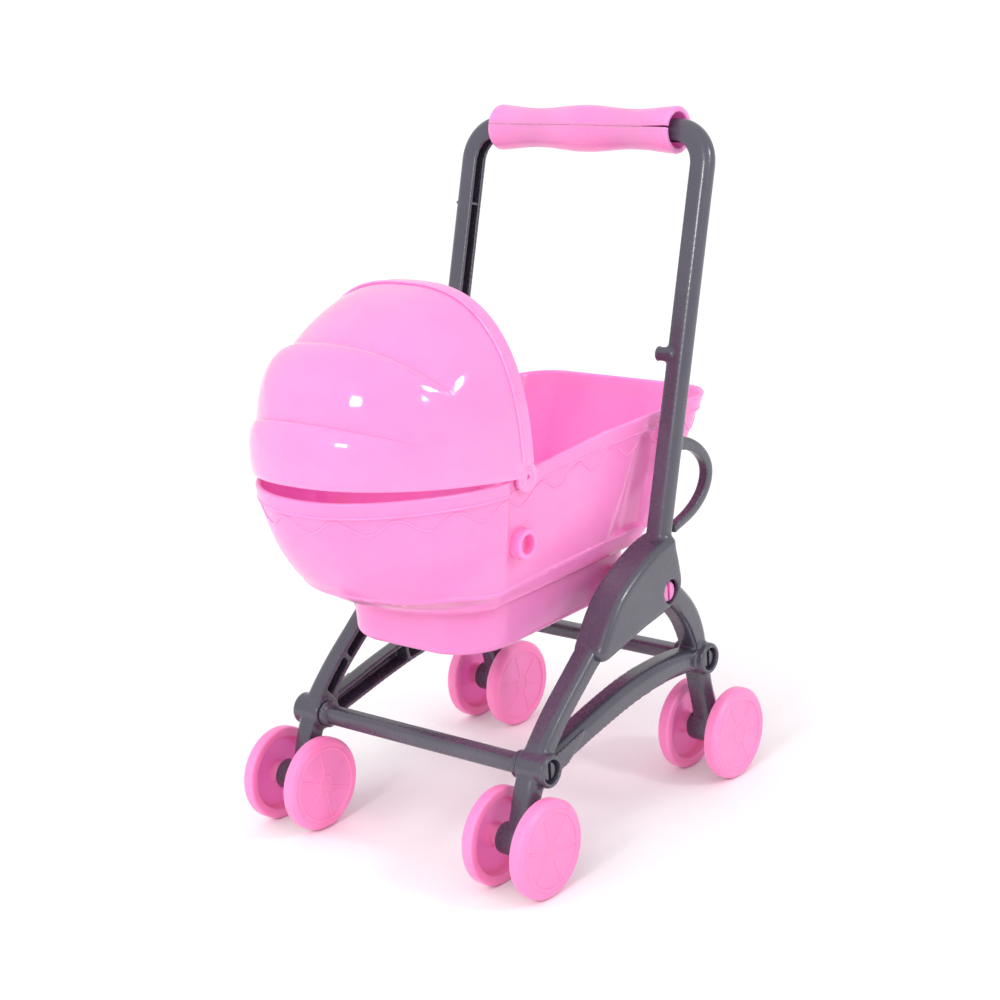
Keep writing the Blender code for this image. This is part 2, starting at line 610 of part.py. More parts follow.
def tub():
    """The bassinet: a deep bowl in front, straight sides behind the hood's pivots, a flared tail."""
    bowl_step = BOWL_HALF_WIDTH - TUB_HALF_WIDTH
    heights = [TUB_BOTTOM + (TUB_RIM - TUB_BOTTOM) * t for t in (0.0, 0.04, 0.12, 0.25, 0.45, 0.7)]
    rings = []
    for z in heights:
        ring = tub_ring(z, 2.2 * MM if z == TUB_BOTTOM else 0.0, bowl_step)
        rings.append([(x, y, rim_height(z, rise)) for x, y, rise in ring])
    for inset, drop in ((0.0, 0.4 * MM), (0.4 * MM, 0.0), (SHELL, 0.0)):
        ring = tub_ring(TUB_RIM, inset, bowl_step)
        rings.append([(x, y, rim_height(TUB_RIM, rise) - drop) for x, y, rise in ring])
    for z in heights[:1:-1] + [TUB_BOTTOM + SHELL]:
        deep = z == TUB_BOTTOM + SHELL
        ring = tub_ring(z, SHELL + (1.5 * MM if deep else 0.0), bowl_step)
        rings.append([(x, y, TUB_BOTTOM + SHELL if deep else rim_height(z, rise)) for x, y, rise in ring])
    made = loft("tub", rings)
    for word, side in SIDES:
        join(made, cylinder("tub_socket_" + word, SOCKET_RADIUS, 38.0 * MM, 44.6 * MM, SOCKET, side, 20))
    for word, side in SIDES:
        cut(made, cylinder("tub_socket_bore_" + word, SOCKET_BORE, 40.9 * MM, 47 * MM, SOCKET, side, 16))
        cut(made, cylinder("tub_pivot_bore_" + word, PIVOT_STUD + GAP, 36 * MM, 50 * MM, PIVOT, side, 16))
    finish(made, PINK, 0.25)


# ---- hood ----

def hood_radius(angle):
    """Distance from the hinge axis to the dome's crown line, at an angle in degrees above level."""
    low, high = CREASES
    fold = CREASE_RADIUS
    spans = ((HOOD_LIP, low, HOOD_REACH, fold, 1.6 * MM), (low, high, fold, fold, 2.4 * MM),
             (high, 90.0, fold, HOOD_RISE, 0.9 * MM))
    for start, stop, near, far, bulge in spans:
        if angle <= stop:
            t = (angle - start) / (stop - start)
            return between(near, far, t) + bulge * math.sin(math.pi * t) ** 0.75
    return HOOD_RISE


def hood_arch(angle, offset_y, inset):
    """One arch of the hood, from its left foot over the top to its right foot."""
    crown = hood_radius(angle)
    share = (angle - HOOD_LIP) / (90 - HOOD_LIP)
    plain = between(HOOD_REACH, HOOD_RISE, share)
    power = between(2.0, 3.0, share)
    lean = math.radians(angle)
    points = []
    count = 22
    for i in range(count + 1):
        turn = math.radians(between(1.6, 178.4, i / count))
        across, out = quarter(min(turn, math.pi - turn), power)
        fold = out ** 3
        reach = (between(plain, crown, fold) - inset) * out
        x = (BOWL_HALF_WIDTH + 0.3 * MM - inset) * across * (1 if turn < math.pi / 2 else -1)
        points.append(Vector((x, PIVOT[0] - reach * math.cos(lean) + offset_y, PIVOT[1] + reach * math.sin(lean))))
    return points


def hood():
    """The dome: three folds that fan out from the pivots, an arch along the opening and two pivot tabs."""
    low, high = CREASES
    angles = [HOOD_LIP, 12.0, 18.0, 23.0, low, 30.0, 38.0, 46.0, high, 55.0, 66.0, 78.0, 90.0]
    setback = HOOD_REAR_Y - PIVOT[0]
    outer = [hood_arch(angle, 0.0, 0.0) for angle in angles] + [hood_arch(90.0, setback, 0.0)]
    inner = [hood_arch(angle, 0.0, SHELL) for angle in angles] + [hood_arch(90.0, setback, SHELL)]
    bm = bmesh.new()
    skins = [[[bm.verts.new(point) for point in arch] for arch in skin] for skin in (outer, inner)]
    rows = len(skins[0])
    count = len(skins[0][0])
    for skin in skins:
        for r in range(rows - 1):
            for i in range(count - 1):
                bm.faces.new((skin[r][i], skin[r][i + 1], skin[r + 1][i + 1], skin[r + 1][i]))
    edge = [(0, i) for i in range(count)] + [(r, count - 1) for r in range(1, rows)]
    edge += [(rows - 1, i) for i in range(count - 2, -1, -1)] + [(r, 0) for r in range(rows - 2, 0, -1)]
    for (r, i), (s, j) in zip(edge, edge[1:] + edge[:1]):
        bm.faces.new((skins[0][r][i], skins[0][s][j], skins[1][s][j], skins[1][r][i]))
    made = mesh_object("hood", bm)
    tab_inner_x = TUB_HALF_WIDTH + GAP
    for word, side in SIDES:
        join(made, cylinder("hood_tab_" + word, TAB_RADIUS, tab_inner_x, TAB_OUTER_X, PIVOT, side, 24))
        join(made, cylinder("hood_stud_" + word, PIVOT_STUD, TUB_HALF_WIDTH - 2.6 * MM, tab_inner_x + 1 * MM,
                            PIVOT, side, 12))
    finish(made, PINK, 0.15)


wheel_sets()
for side_word, side_sign in SIDES:
    side_frame(side_word, side_sign)
crossbar("crossbar_front", FRONT_BOSS, (1.0, 1.0))
crossbar("crossbar_rear", REAR_BOSS, (1.2, 0.85))
handle()
grip_half("grip_upper", 1)
grip_half("grip_lower", -1)
base_tray()
tub()
hood()
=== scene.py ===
"""Looks of the doll stroller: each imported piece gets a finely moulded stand-in of glossy toy plastic.

Axes and origin are the frame's: +X is the stroller's left, -Y its front, +Z up. Lengths are in metres, worked
out from millimetres with MM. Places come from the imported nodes' boxes and from the hood's hinge.
"""
import json
import math

import bmesh
import bpy
from mathutils import Matrix, Vector

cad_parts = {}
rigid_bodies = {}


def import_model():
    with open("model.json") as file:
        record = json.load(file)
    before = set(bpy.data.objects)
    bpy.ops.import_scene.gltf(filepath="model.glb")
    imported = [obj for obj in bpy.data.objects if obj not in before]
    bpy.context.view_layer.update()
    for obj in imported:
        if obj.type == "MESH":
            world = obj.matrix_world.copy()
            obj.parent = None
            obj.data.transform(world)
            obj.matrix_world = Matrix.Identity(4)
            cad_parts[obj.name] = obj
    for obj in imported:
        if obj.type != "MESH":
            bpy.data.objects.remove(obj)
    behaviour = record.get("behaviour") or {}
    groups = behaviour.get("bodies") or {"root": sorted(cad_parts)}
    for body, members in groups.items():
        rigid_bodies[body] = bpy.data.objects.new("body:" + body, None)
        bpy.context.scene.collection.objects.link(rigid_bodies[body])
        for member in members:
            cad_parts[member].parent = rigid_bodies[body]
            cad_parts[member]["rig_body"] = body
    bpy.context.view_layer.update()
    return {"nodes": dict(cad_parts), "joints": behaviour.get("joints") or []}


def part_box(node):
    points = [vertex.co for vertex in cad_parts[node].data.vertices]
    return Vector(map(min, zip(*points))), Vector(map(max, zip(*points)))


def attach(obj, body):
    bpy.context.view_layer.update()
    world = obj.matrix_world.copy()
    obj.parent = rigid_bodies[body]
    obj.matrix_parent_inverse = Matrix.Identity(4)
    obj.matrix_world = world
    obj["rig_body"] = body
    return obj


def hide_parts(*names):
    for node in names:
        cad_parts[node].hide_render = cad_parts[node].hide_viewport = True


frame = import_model()

MM = 0.001


def node_box(name):
    low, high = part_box(name)
    return Vector(low), Vector(high)


def middle(name):
    low, high = node_box(name)
    return (low + high) / 2


# ---- places read from the frame ----
HINGE = next(joint for joint in frame["joints"] if joint["name"] == "hood_hinge")
PIVOT_Y, PIVOT_Z = HINGE["pos_m"][1], HINGE["pos_m"][2]
TUB_LOW, TUB_HIGH = node_box("tub")
TRAY_LOW, TRAY_HIGH = node_box("base_tray")
HOOD_HIGH = node_box("hood")[1]
HANDLE_HIGH = node_box("handle")[1]
SIDE_LOW, SIDE_HIGH = node_box("side_frame_left")
WHEEL_LOW, WHEEL_HIGH = node_box("wheel_front_left_outer")
FRONT_BOSS = middle("crossbar_front").yz
REAR_BOSS = middle("crossbar_rear").yz
FRONT_AXLE_Y = middle("axle_front_left").y
REAR_AXLE_Y = middle("axle_rear_left").y
WHEEL_RADIUS = (WHEEL_HIGH.z - WHEEL_LOW.z) / 2
WHEEL_WIDTH = WHEEL_HIGH.x - WHEEL_LOW.x
GRIP_HALF = node_box("grip_upper")[1].x
GRIP_AXIS = (middle("grip_upper").yz + middle("grip_lower").yz) / 2

# ---- sizes of the mouldings ----
SHELL = 1.8 * MM                     # wall of the tub, the tray and the hood
HUB = Vector((32.7 * MM, 79.0 * MM))     # (y, z) of the pin through tray, side frame and handle
HUB_BORE = 4.3 * MM
HUB_RADIUS = 7.2 * MM
LEG_INNER_X = 46.0 * MM
LEG_OUTER_X = 54.0 * MM
LEG_WALL = 1.5 * MM
BOSS_RADIUS = 5.7 * MM
BOSS_BORE = 4.0 * MM
BOSS_OUTER_X = 56.7 * MM
BORE_SPAN = (40 * MM, 62 * MM)       # from inside to outside of each side frame and hub cover
HOUSING_RADIUS = 5.5 * MM
AXLE_RADIUS = 1.5 * MM
PIN_GAP = 0.3 * MM                   # play between a snap pin or an axle and its bore

RAKE = math.radians(16.3)            # the handle leans back by this much
UPRIGHT_X = 51.3 * MM
BAR_WIDTH = 8.2 * MM
BAR_DEPTH = 6.6 * MM
BAR_WALL = 1.4 * MM
BAR_CORNER = 12.0 * MM
FOOT_BELOW_GRIP = 141.5 * MM         # along the rake, from the grip's axis down to the uprights' foot
COVER_INNER_X = 44.8 * MM
COVER_OUTER_X = HANDLE_HIGH.x
COVER_WALL = 1.6 * MM
PEG = Vector((51.7 * MM, 158.0 * MM))

TUB_BOTTOM = TUB_LOW.z
TUB_RIM = TUB_HIGH.z
RIM_FRONT_Y = TUB_LOW.y
RIM_REAR_Y = TUB_HIGH.y
TUB_HALF_WIDTH = 43.2 * MM           # at the rim, behind the hood's pivots
BOWL_STEP = 2.0 * MM                 # the bowl in front of them is wider by this much on each side
STEP_Y = PIVOT_Y - 10.0 * MM
TUB_CORNER = 16.0 * MM
TAIL_CROWN = 1.5 * MM
RIM_DIP = 3.5 * MM
RIM_CLIMB = 2.2 * MM                 # from beside the pivots up to the front
BOWL_POWER = 2.2                     # 2 is an ellipse; a little more is fuller
RIM_LEVEL_Y = 18.2 * MM              # the rim is level behind this
WALL_INSET = 0.45 * MM               # the wall lies this far inside the rim band and the flange
BAND_Z = TUB_RIM - 5.6 * MM          # bottom of the rim band
FLANGE_Z = TUB_BOTTOM + 6.5 * MM     # bottom of the flange round the tub's foot
FOOT_INSET = 1.6 * MM
SOCKET = Vector((PIVOT_Y - 1.1 * MM, 111.6 * MM))

HOOD_HALF_WIDTH = TUB_HALF_WIDTH + BOWL_STEP + 0.3 * MM
HOOD_RISE = HOOD_HIGH.z - PIVOT_Z - 0.1 * MM
HOOD_REACH = 62.3 * MM
HOOD_LIP = 6.5                       # degrees above level, seen from the pivots
CREASES = (25.3, 52.2)               # degrees above level of the two tucks in the dome
CREASE_RADII = (61.9 * MM, 59.2 * MM)
HOOD_SETBACK = 3.5 * MM              # from the hinge's plane back to the edge of the opening
TAB_RADIUS = 5.0 * MM
TAB_OUTER_X = HOOD_HIGH.x

SIDES = (("left", 1), ("right", -1))
ENDS = (("front", FRONT_AXLE_Y), ("rear", REAR_AXLE_Y))

EDGE_STEPS = 5                       # steps round the edge of a slab


# ---- small sums ----

def between(low, high, t):
    return low + (high - low) * t


def ease(t):
    """0 below 0, 1 above 1, and a soft step from one to the other."""
    t = min(max(t, 0.0), 1.0)
    return t * t * (3 - 2 * t)


def bump_between(value, low, high, soft):
    """1 from low to high, falling to 0 over the distance soft outside them."""
    return ease((value - low + soft) / soft) * ease((high + soft - value) / soft)


def catmull(points, per_span, closed=False):
    """A smooth line through points of any dimension."""
    count = len(points)
    line = []
    for i in range(count if closed else count - 1):
        if closed:
            p0, p1, p2, p3 = (points[(i + k) % count] for k in (-1, 0, 1, 2))
        else:
            p0, p1, p2, p3 = (points[min(max(i + k, 0), count - 1)] for k in (-1, 0, 1, 2))
        for k in range(per_span):
            t = k / per_span
            line.append(tuple(0.5 * (2 * b + (c - a) * t + (2 * a - 5 * b + 4 * c - d) * t * t
                                     + (3 * b - a - 3 * c + d) * t ** 3)
                              for a, b, c, d in zip(p0, p1, p2, p3)))
    if not closed:
        line.append(tuple(points[-1]))
    return line


def fillet(points, radii, steps=6, closed=True):
    """A flat outline with rounded corners; radii is one radius or one for each point."""
    count = len(points)
    if not isinstance(radii, (list, tuple)):
        radii = [radii] * count
    line = []
    for i in range(count):
        here = Vector(points[i])
        if radii[i] <= 0 or (not closed and i in (0, count - 1)):
            line.append(tuple(here))
            continue
        back = Vector(points[i - 1]) - here
        ahead = Vector(points[(i + 1) % count]) - here
        half_angle = back.angle(ahead) / 2
        reach = min(radii[i] / math.tan(half_angle), back.length * 0.49, ahead.length * 0.49)
        start = here + back.normalized() * reach
        stop = here + ahead.normalized() * reach
        centre = here + (back.normalized() + ahead.normalized()).normalized() * (reach / math.cos(half_angle))
        from_centre = start - centre
        to_centre = stop - centre
        sweep_angle = from_centre.angle(to_centre)
        for k in range(steps + 1):
            t = k / steps
            mix = (from_centre * math.sin((1 - t) * sweep_angle) + to_centre * math.sin(t * sweep_angle))
            line.append(tuple(centre + mix / math.sin(sweep_angle)))
    return line


def scaled(points):
    return [tuple(value * MM for value in point) for point in points]


# ---- mesh building ----

def raw_object(name, points, faces, weld=False):
    mesh = bpy.data.meshes.new(name)
    mesh.from_pydata([tuple(point) for point in points], [], faces)
    bm = bmesh.new()
    bm.from_mesh(mesh)
    if weld:
        bmesh.ops.remove_doubles(bm, verts=bm.verts[:], dist=1e-7)
    bmesh.ops.recalc_face_normals(bm, faces=bm.faces[:])
    bm.to_mesh(mesh)
    bm.free()
    return bpy.data.objects.new(name, mesh)


def loft(name, rings, ends=True, weld=False):
    """A closed solid through rings of equal length: flat at both ends, or joined last to first."""
    rows = len(rings)
    count = len(rings[0])
    faces = []
    for r in range(rows - 1 if ends else rows):
        s = (r + 1) % rows
        for i in range(count):
            j = (i + 1) % count
            faces.append((r * count + i, r * count + j, s * count + j, s * count + i))
    if ends:
        faces.append(tuple(range(count)))
        faces.append(tuple(range((rows - 1) * count, rows * count)))
    return raw_object(name, [point for ring in rings for point in ring], faces, weld)


def turned(name, profile, place=Matrix.Identity(4), segments=64):
    """A closed half section of (radius, height) points, turned about local Z and put in place."""
    rings = []
    for k in range(segments):
        turn = math.tau * k / segments
        rings.append([place @ Vector((r * math.cos(turn), r * math.sin(turn), h)) for r, h in profile])
    return loft(name, rings, ends=False, weld=True)


def lateral(centre_x, yz, side=1):
    """The place of a turned piece whose height runs outwards, along X on the left and -X on the right."""
    turn = Matrix(((0, 0, side, 0), (0, 1, 0, 0), (-side, 0, 0, 0), (0, 0, 0, 1)))
    return Matrix.Translation((centre_x, yz[0], yz[1])) @ turn


def drum(name, radius, low_x, high_x, yz, side=1, edge=0.5 * MM, segments=48):
    """A cylinder about a lateral axis with rounded edges, from low_x to high_x on the side it is on."""
    depth = high_x - low_x
    profile = fillet([(0, 0), (radius, 0), (radius, depth), (0, depth)], [0, edge, edge, 0], 5)
    return turned(name, profile, lateral(side * low_x, yz, side), segments)


def block(name, low, high):
    points = [Vector((x, y, z)) for z in (low[2], high[2]) for x, y in
              ((low[0], low[1]), (high[0], low[1]), (high[0], high[1]), (low[0], high[1]))]
    return loft(name, [points[:4], points[4:]])


def side_slab(name, outline, low_x, high_x, side=1, edge=0.0, sharp_inside=False):
    """An outline in a side plane made solid from low_x out to high_x, its edges rounded by edge.

    sharp_inside rounds only the outer ones.
    """
    count = len(outline)
    turns = [math.pi / 2 * k / EDGE_STEPS for k in range(EDGE_STEPS + 1)]
    inner = [(edge * (1 - math.sin(a)), low_x + edge * (1 - math.cos(a))) for a in turns]
    outer = [(edge * (1 - math.cos(a)), high_x - edge * (1 - math.sin(a))) for a in turns]
    layers = inner if edge and not sharp_inside else [(0.0, low_x)]
    layers = layers + (outer if edge else [(0.0, high_x)])
    area = sum(outline[i][0] * outline[(i + 1) % count][1] - outline[(i + 1) % count][0] * outline[i][1]
               for i in range(count))
    inward = 1 if area > 0 else -1
    normals = []
    for i in range(count):
        along = Vector(outline[(i + 1) % count]) - Vector(outline[i - 1])
        along.normalize()
        normals.append(Vector((-along.y, along.x)) * inward)
    rings = []
    for inset, x in layers:
        rings.append([Vector((x, y + n.x * inset, z + n.y * inset)) for (y, z), n in zip(outline, normals)])
    made = loft(name, rings)
    if side < 0:
        made.data.transform(Matrix.Diagonal((-1, 1, 1, 1)))
        made.data.flip_normals()
    return made


def ribbon(points, per_span=6, width_change=0.0, round_ends=False):
    """The outline of a strip along a smooth line of (u, v, width) points."""
    line = catmull(points, per_span)
    left, right = [], []
    for i, (u, v, width) in enumerate(line):
        ahead = line[min(i + 1, len(line) - 1)]
        behind = line[max(i - 1, 0)]
        along = Vector((ahead[0] - behind[0], ahead[1] - behind[1])).normalized()
        half = (width + width_change) / 2
        left.append((u - along.y * half, v + along.x * half))
        right.append((u + along.y * half, v - along.x * half))
    outline = left + right[::-1]
    if not round_ends:
        return outline
    radii = [0.0] * len(outline)
    for index in (0, len(left) - 1, len(left), len(outline) - 1):
        radii[index] = (points[0][2] + width_change) * 0.45
    return fillet(outline, radii, 6)


def sweep(name, path, section, normals, closed=False):
    """A section of (across, out) points carried along a path; normals point out of the surface it follows."""
    count = len(path)
    rings = []
    for i in range(count):
        if closed:
            along = path[(i + 1) % count] - path[i - 1]
        else:
            along = path[min(i + 1, count - 1)] - path[max(i - 1, 0)]
        across = along.cross(normals[i]).normalized()
        out = across.cross(along).normalized()
        rings.append([path[i] + across * a + out * b for a, b in section])
    return loft(name, rings, ends=not closed)


def ridge(name, path, normals, width, height, closed=False):
    """A low round-topped line of plastic, half sunk in the surface it follows."""
    section = [(width / 2 * math.cos(a), height * math.sin(a) if math.sin(a) > 0 else 0.35 * MM * math.sin(a))
               for a in (math.tau * k / 12 for k in range(12))]
    return sweep(name, path, section, normals, closed)


def combined(name, parts):
    """Several closed solids as one object's mesh."""
    bm = bmesh.new()
    for part in parts:
        bm.from_mesh(part.data)
        bpy.data.objects.remove(part, do_unlink=True)
    mesh = bpy.data.meshes.new(name)
    bm.to_mesh(mesh)
    bm.free()
    return bpy.data.objects.new(name, mesh)


def baked(obj, *others):
    """Apply an object's modifiers to its mesh and remove the objects that they used."""
    scene = bpy.context.scene.collection.objects
    for item in (obj, *others):
        if item.name not in scene:
            scene.link(item)
    bpy.context.view_layer.update()
    seen = obj.evaluated_get(bpy.context.evaluated_depsgraph_get())
    mesh = bpy.data.meshes.new_from_object(seen)
    obj.modifiers.clear()
    obj.data = mesh
    scene.unlink(obj)
    for item in others:
        bpy.data.objects.remove(item, do_unlink=True)
    return obj


def carved(obj, cutters, operation="DIFFERENCE"):
    for cutter in cutters:
        change = obj.modifiers.new("cut_" + cutter.name, "BOOLEAN")
        change.operation = operation
        change.solver = "MANIFOLD"
        change.object = cutter
    return baked(obj, *cutters)


def moulded(obj, voxel, passes):
    """Blend a joined solid's edges and corners together, as a mould's rounded tool does."""
    remesh = obj.modifiers.new("blend", "REMESH")
    remesh.mode = "VOXEL"
    remesh.voxel_size = voxel
    soften = obj.modifiers.new("soften", "SMOOTH")
    soften.factor = 0.5
    soften.iterations = passes
    return baked(obj)


def stand_in(obj, node, material, sharp=35):
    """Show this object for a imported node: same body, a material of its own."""
    obj.name = node + "_moulding"
    obj.data.name = obj.name
    bpy.context.scene.collection.objects.link(obj)
    obj.data.materials.clear()
    obj.data.materials.append(material)
    obj.data.shade_smooth()
    obj.data.set_sharp_from_angle(angle=math.radians(sharp))
    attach(obj, frame["nodes"][node]["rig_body"])
    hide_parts(node)
    return obj


# ---- materials ----

class Graph:
    """A material's node tree with short ways to add and link its nodes."""

    def __init__(self, name):
        self.material = bpy.data.materials.new(name)
        self.material.use_nodes = True
        self.tree = self.material.node_tree
        self.shader = self.tree.nodes["Principled BSDF"]
        self.place = self.add("ShaderNodeTexCoord").outputs["Object"]

    def add(self, kind, **settings):
        made = self.tree.nodes.new(kind)
        for key, value in settings.items():
            setattr(made, key, value)
        return made

    def link(self, source, target):
        self.tree.links.new(source, target)

    def noise(self, size, detail=3.0, roughness=0.5, stretch=None):
        """Noise whose blotches are about size metres across; stretch scales its axes."""
        texture = self.add("ShaderNodeTexNoise")
        texture.inputs["Scale"].default_value = 1.0 / size
        texture.inputs["Detail"].default_value = detail
        texture.inputs["Roughness"].default_value = roughness
        place = self.place
        if stretch:
            mapping = self.add("ShaderNodeMapping")
            mapping.inputs["Scale"].default_value = stretch
            self.link(place, mapping.inputs["Vector"])
            place = mapping.outputs["Vector"]
        self.link(place, texture.inputs["Vector"])
        return texture.outputs["Fac"]

    def spread(self, source, from_low, from_high, low, high):
        """Map a value's range to another one, held at its ends."""
        made = self.add("ShaderNodeMapRange")
        made.inputs["From Min"].default_value = from_low
        made.inputs["From Max"].default_value = from_high
        made.inputs["To Min"].default_value = low
        made.inputs["To Max"].default_value = high
        self.link(source, made.inputs["Value"])
        return made.outputs["Result"]

    def blend(self, share, first, second):
        """Mix two colours; each is a socket or a value."""
        made = self.add("ShaderNodeMix", data_type="RGBA")
        self.link(share, made.inputs["Factor"])
        for socket, value in ((made.inputs[6], first), (made.inputs[7], second)):
            if isinstance(value, bpy.types.NodeSocket):
                self.link(value, socket)
            else:
                socket.default_value = (*value, 1.0)
        return made.outputs[2]

    def sum(self, first, second):
        made = self.add("ShaderNodeMath", operation="ADD")
        self.link(first, made.inputs[0])
        self.link(second, made.inputs[1])
        return made.outputs[0]

    def edges(self):
        """1 along worn outer edges, 0 elsewhere, from the mesh's own convexity."""
        shape = self.add("ShaderNodeNewGeometry").outputs["Pointiness"]
        return self.spread(shape, 0.53, 0.62, 0.0, 1.0)

    def bump(self, height, distance, strength, below=None):
        made = self.add("ShaderNodeBump")
        made.inputs["Distance"].default_value = distance
        made.inputs["Strength"].default_value = strength
        self.link(height, made.inputs["Height"])
        if below:
            self.link(below, made.inputs["Normal"])
        return made.outputs["Normal"]


def plastic(name, base, deep, pale, gloss, scatter, scatter_tint, coat=0.0, grain=0.4, shine=0.5):
    """Injection-moulded plastic: cloudy colour, faint flow marks, rubbed edges, fine grain and sink ripples."""
    graph = Graph(name)
    clouds = graph.noise(26 * MM, 2.0)
    colour = graph.blend(graph.spread(clouds, 0.35, 0.65, 0.0, 1.0), base, deep)
    flow = graph.noise(14 * MM, 2.0, 0.5, (1.0, 0.25, 2.2))
    colour = graph.blend(graph.spread(flow, 0.35, 0.85, 0.0, 0.12), colour, pale)
    rubbed = graph.edges()
    colour = graph.blend(graph.spread(rubbed, 0.0, 1.0, 0.0, 0.3), colour, pale)
    graph.link(colour, graph.shader.inputs["Base Color"])
    smears = graph.noise(6 * MM, 5.0, 0.65)
    worn = graph.spread(rubbed, 0.0, 1.0, 0.0, 0.12)
    graph.link(graph.sum(graph.spread(smears, 0.3, 0.75, gloss - 0.05, gloss + 0.07), worn),
               graph.shader.inputs["Roughness"])
    ripple = graph.bump(graph.noise(11 * MM, 1.0), 0.12 * MM, 0.5)
    fine = graph.bump(graph.noise(0.35 * MM, 3.0, 0.6), 0.012 * MM, grain, ripple)
    graph.link(fine, graph.shader.inputs["Normal"])
    graph.shader.inputs["IOR"].default_value = 1.49
    graph.shader.inputs["Specular IOR Level"].default_value = shine
    graph.shader.inputs["Subsurface Weight"].default_value = scatter
    graph.shader.inputs["Subsurface Radius"].default_value = scatter_tint
    graph.shader.inputs["Subsurface Scale"].default_value = 4.0 * MM
    graph.shader.inputs["Coat Weight"].default_value = coat
    graph.shader.inputs["Coat Roughness"].default_value = 0.07
    return graph.material


def drawn_steel(name):
    graph = Graph(name)
    scratches = graph.noise(0.6 * MM, 4.0, 0.6, (0.08, 1.0, 1.0))
    colour = graph.blend(scratches, (0.62, 0.62, 0.64), (0.44, 0.44, 0.47))
    graph.link(colour, graph.shader.inputs["Base Color"])
    graph.link(graph.spread(scratches, 0.3, 0.7, 0.22, 0.38), graph.shader.inputs["Roughness"])
    graph.link(graph.bump(scratches, 0.01 * MM, 0.5), graph.shader.inputs["Normal"])
    graph.shader.inputs["Metallic"].default_value = 1.0
    return graph.material


PINK_GLOW = (1.0, 0.5, 1.0)
PINK = plastic("pink_plastic", (1.0, 0.285, 0.60), (1.0, 0.26, 0.57), (1.0, 0.36, 0.67), 0.2, 0.7, PINK_GLOW)
HOOD_PINK = plastic("pink_hood", (1.0, 0.30, 0.62), (1.0, 0.275, 0.59), (1.0, 0.37, 0.68), 0.1, 0.7, PINK_GLOW,
                    coat=0.6, grain=0.15)
TRAY_PINK = plastic("pink_tray", (1.0, 0.28, 0.61), (1.0, 0.25, 0.57), (1.0, 0.36, 0.68), 0.2, 0.7, PINK_GLOW)
WHEEL_PINK = plastic("pink_wheel", (1.0, 0.28, 0.57), (1.0, 0.25, 0.53), (1.0, 0.35, 0.65), 0.35, 0.5,
                     PINK_GLOW, grain=0.6)
GREY = plastic("grey_plastic", (0.058, 0.055, 0.080), (0.048, 0.045, 0.068), (0.10, 0.096, 0.13), 0.27, 0.0,
               (0.5, 0.5, 0.5), coat=0.15, grain=0.12, shine=0.9)
STEEL = drawn_steel("drawn_steel")


# ---- wheels and axles ----

def wheel_solid():
    """One wheel about local Z: low rings and six thin ribs on its face, a dished back, a blind bore."""
    top = WHEEL_WIDTH / 2
    rim = WHEEL_RADIUS
    face = top - 0.45 * MM
    web = 1.2 * MM
    bore = AXLE_RADIUS + 0.15 * MM
    profile = fillet(
        [(0, face + 0.1 * MM), (2.6 * MM, face),
         (2.8 * MM, face + 0.25 * MM), (3.3 * MM, face + 0.25 * MM), (3.5 * MM, face), (12.5 * MM, face),
         (12.7 * MM, top), (13.4 * MM, top), (13.6 * MM, face + 0.15 * MM), (rim - 1.5 * MM, face + 0.3 * MM),
         (rim, top - 1.5 * MM), (rim, -top), (13.4 * MM, -top), (12.4 * MM, web), (4.1 * MM, web),
         (3.4 * MM, -top + 0.4 * MM), (bore, -top + 0.4 * MM), (bore, web - 0.2 * MM), (0, web - 0.2 * MM)],
        [0, 0.1 * MM, 0.12 * MM, 0.12 * MM, 0.1 * MM, 0.15 * MM, 0.25 * MM, 0.25 * MM, 0.3 * MM,
         1.2 * MM, 1.3 * MM, 0.9 * MM, 0.6 * MM, 1.4 * MM, 0.9 * MM, 0.5 * MM, 0.2 * MM, 0.1 * MM, 0], 4)
    parts = [turned("wheel", profile, segments=96)]
    for k in range(6):
        turn = math.tau * (k + 0.25) / 6
        out = Vector((math.cos(turn), math.sin(turn), 0))
        path = [out * r + Vector((0, 0, face)) for r in (3.0 * MM, 6 * MM, 9.5 * MM, 12.9 * MM)]
        parts.append(ridge("rib", path, [Vector((0, 0, 1))] * 4, 0.75 * MM, 0.3 * MM))
    return carved(parts[0], parts[1:], "UNION")


def wheels():
    """Eight wheels that share one mesh, each turned a little differently on its axle."""
    shared = wheel_solid()
    index = 0
    for end, axle_y in ENDS:
        for word, side in SIDES:
            for place in ("outer", "inner"):
                node = f"wheel_{end}_{word}_{place}"
                facing = side if place == "outer" else -side
                made = bpy.data.objects.new(node, shared.data.copy())
                turn = Matrix.Rotation(math.radians(17 * index), 4, "Z")
                made.data.transform(lateral(middle(node).x, (axle_y, WHEEL_RADIUS), facing) @ turn)
                stand_in(made, node, WHEEL_PINK)
                index += 1
    bpy.data.objects.remove(shared, do_unlink=True)


def axles():
    for end, axle_y in ENDS:
        for word, side in SIDES:
            node = f"axle_{end}_{word}"
            low, high = node_box(node)
            made = drum(node, AXLE_RADIUS, low.x, high.x, (axle_y, WHEEL_RADIUS), 1, 0.3 * MM, 32)
            stand_in(made, node, STEEL)


# ---- side frames ----

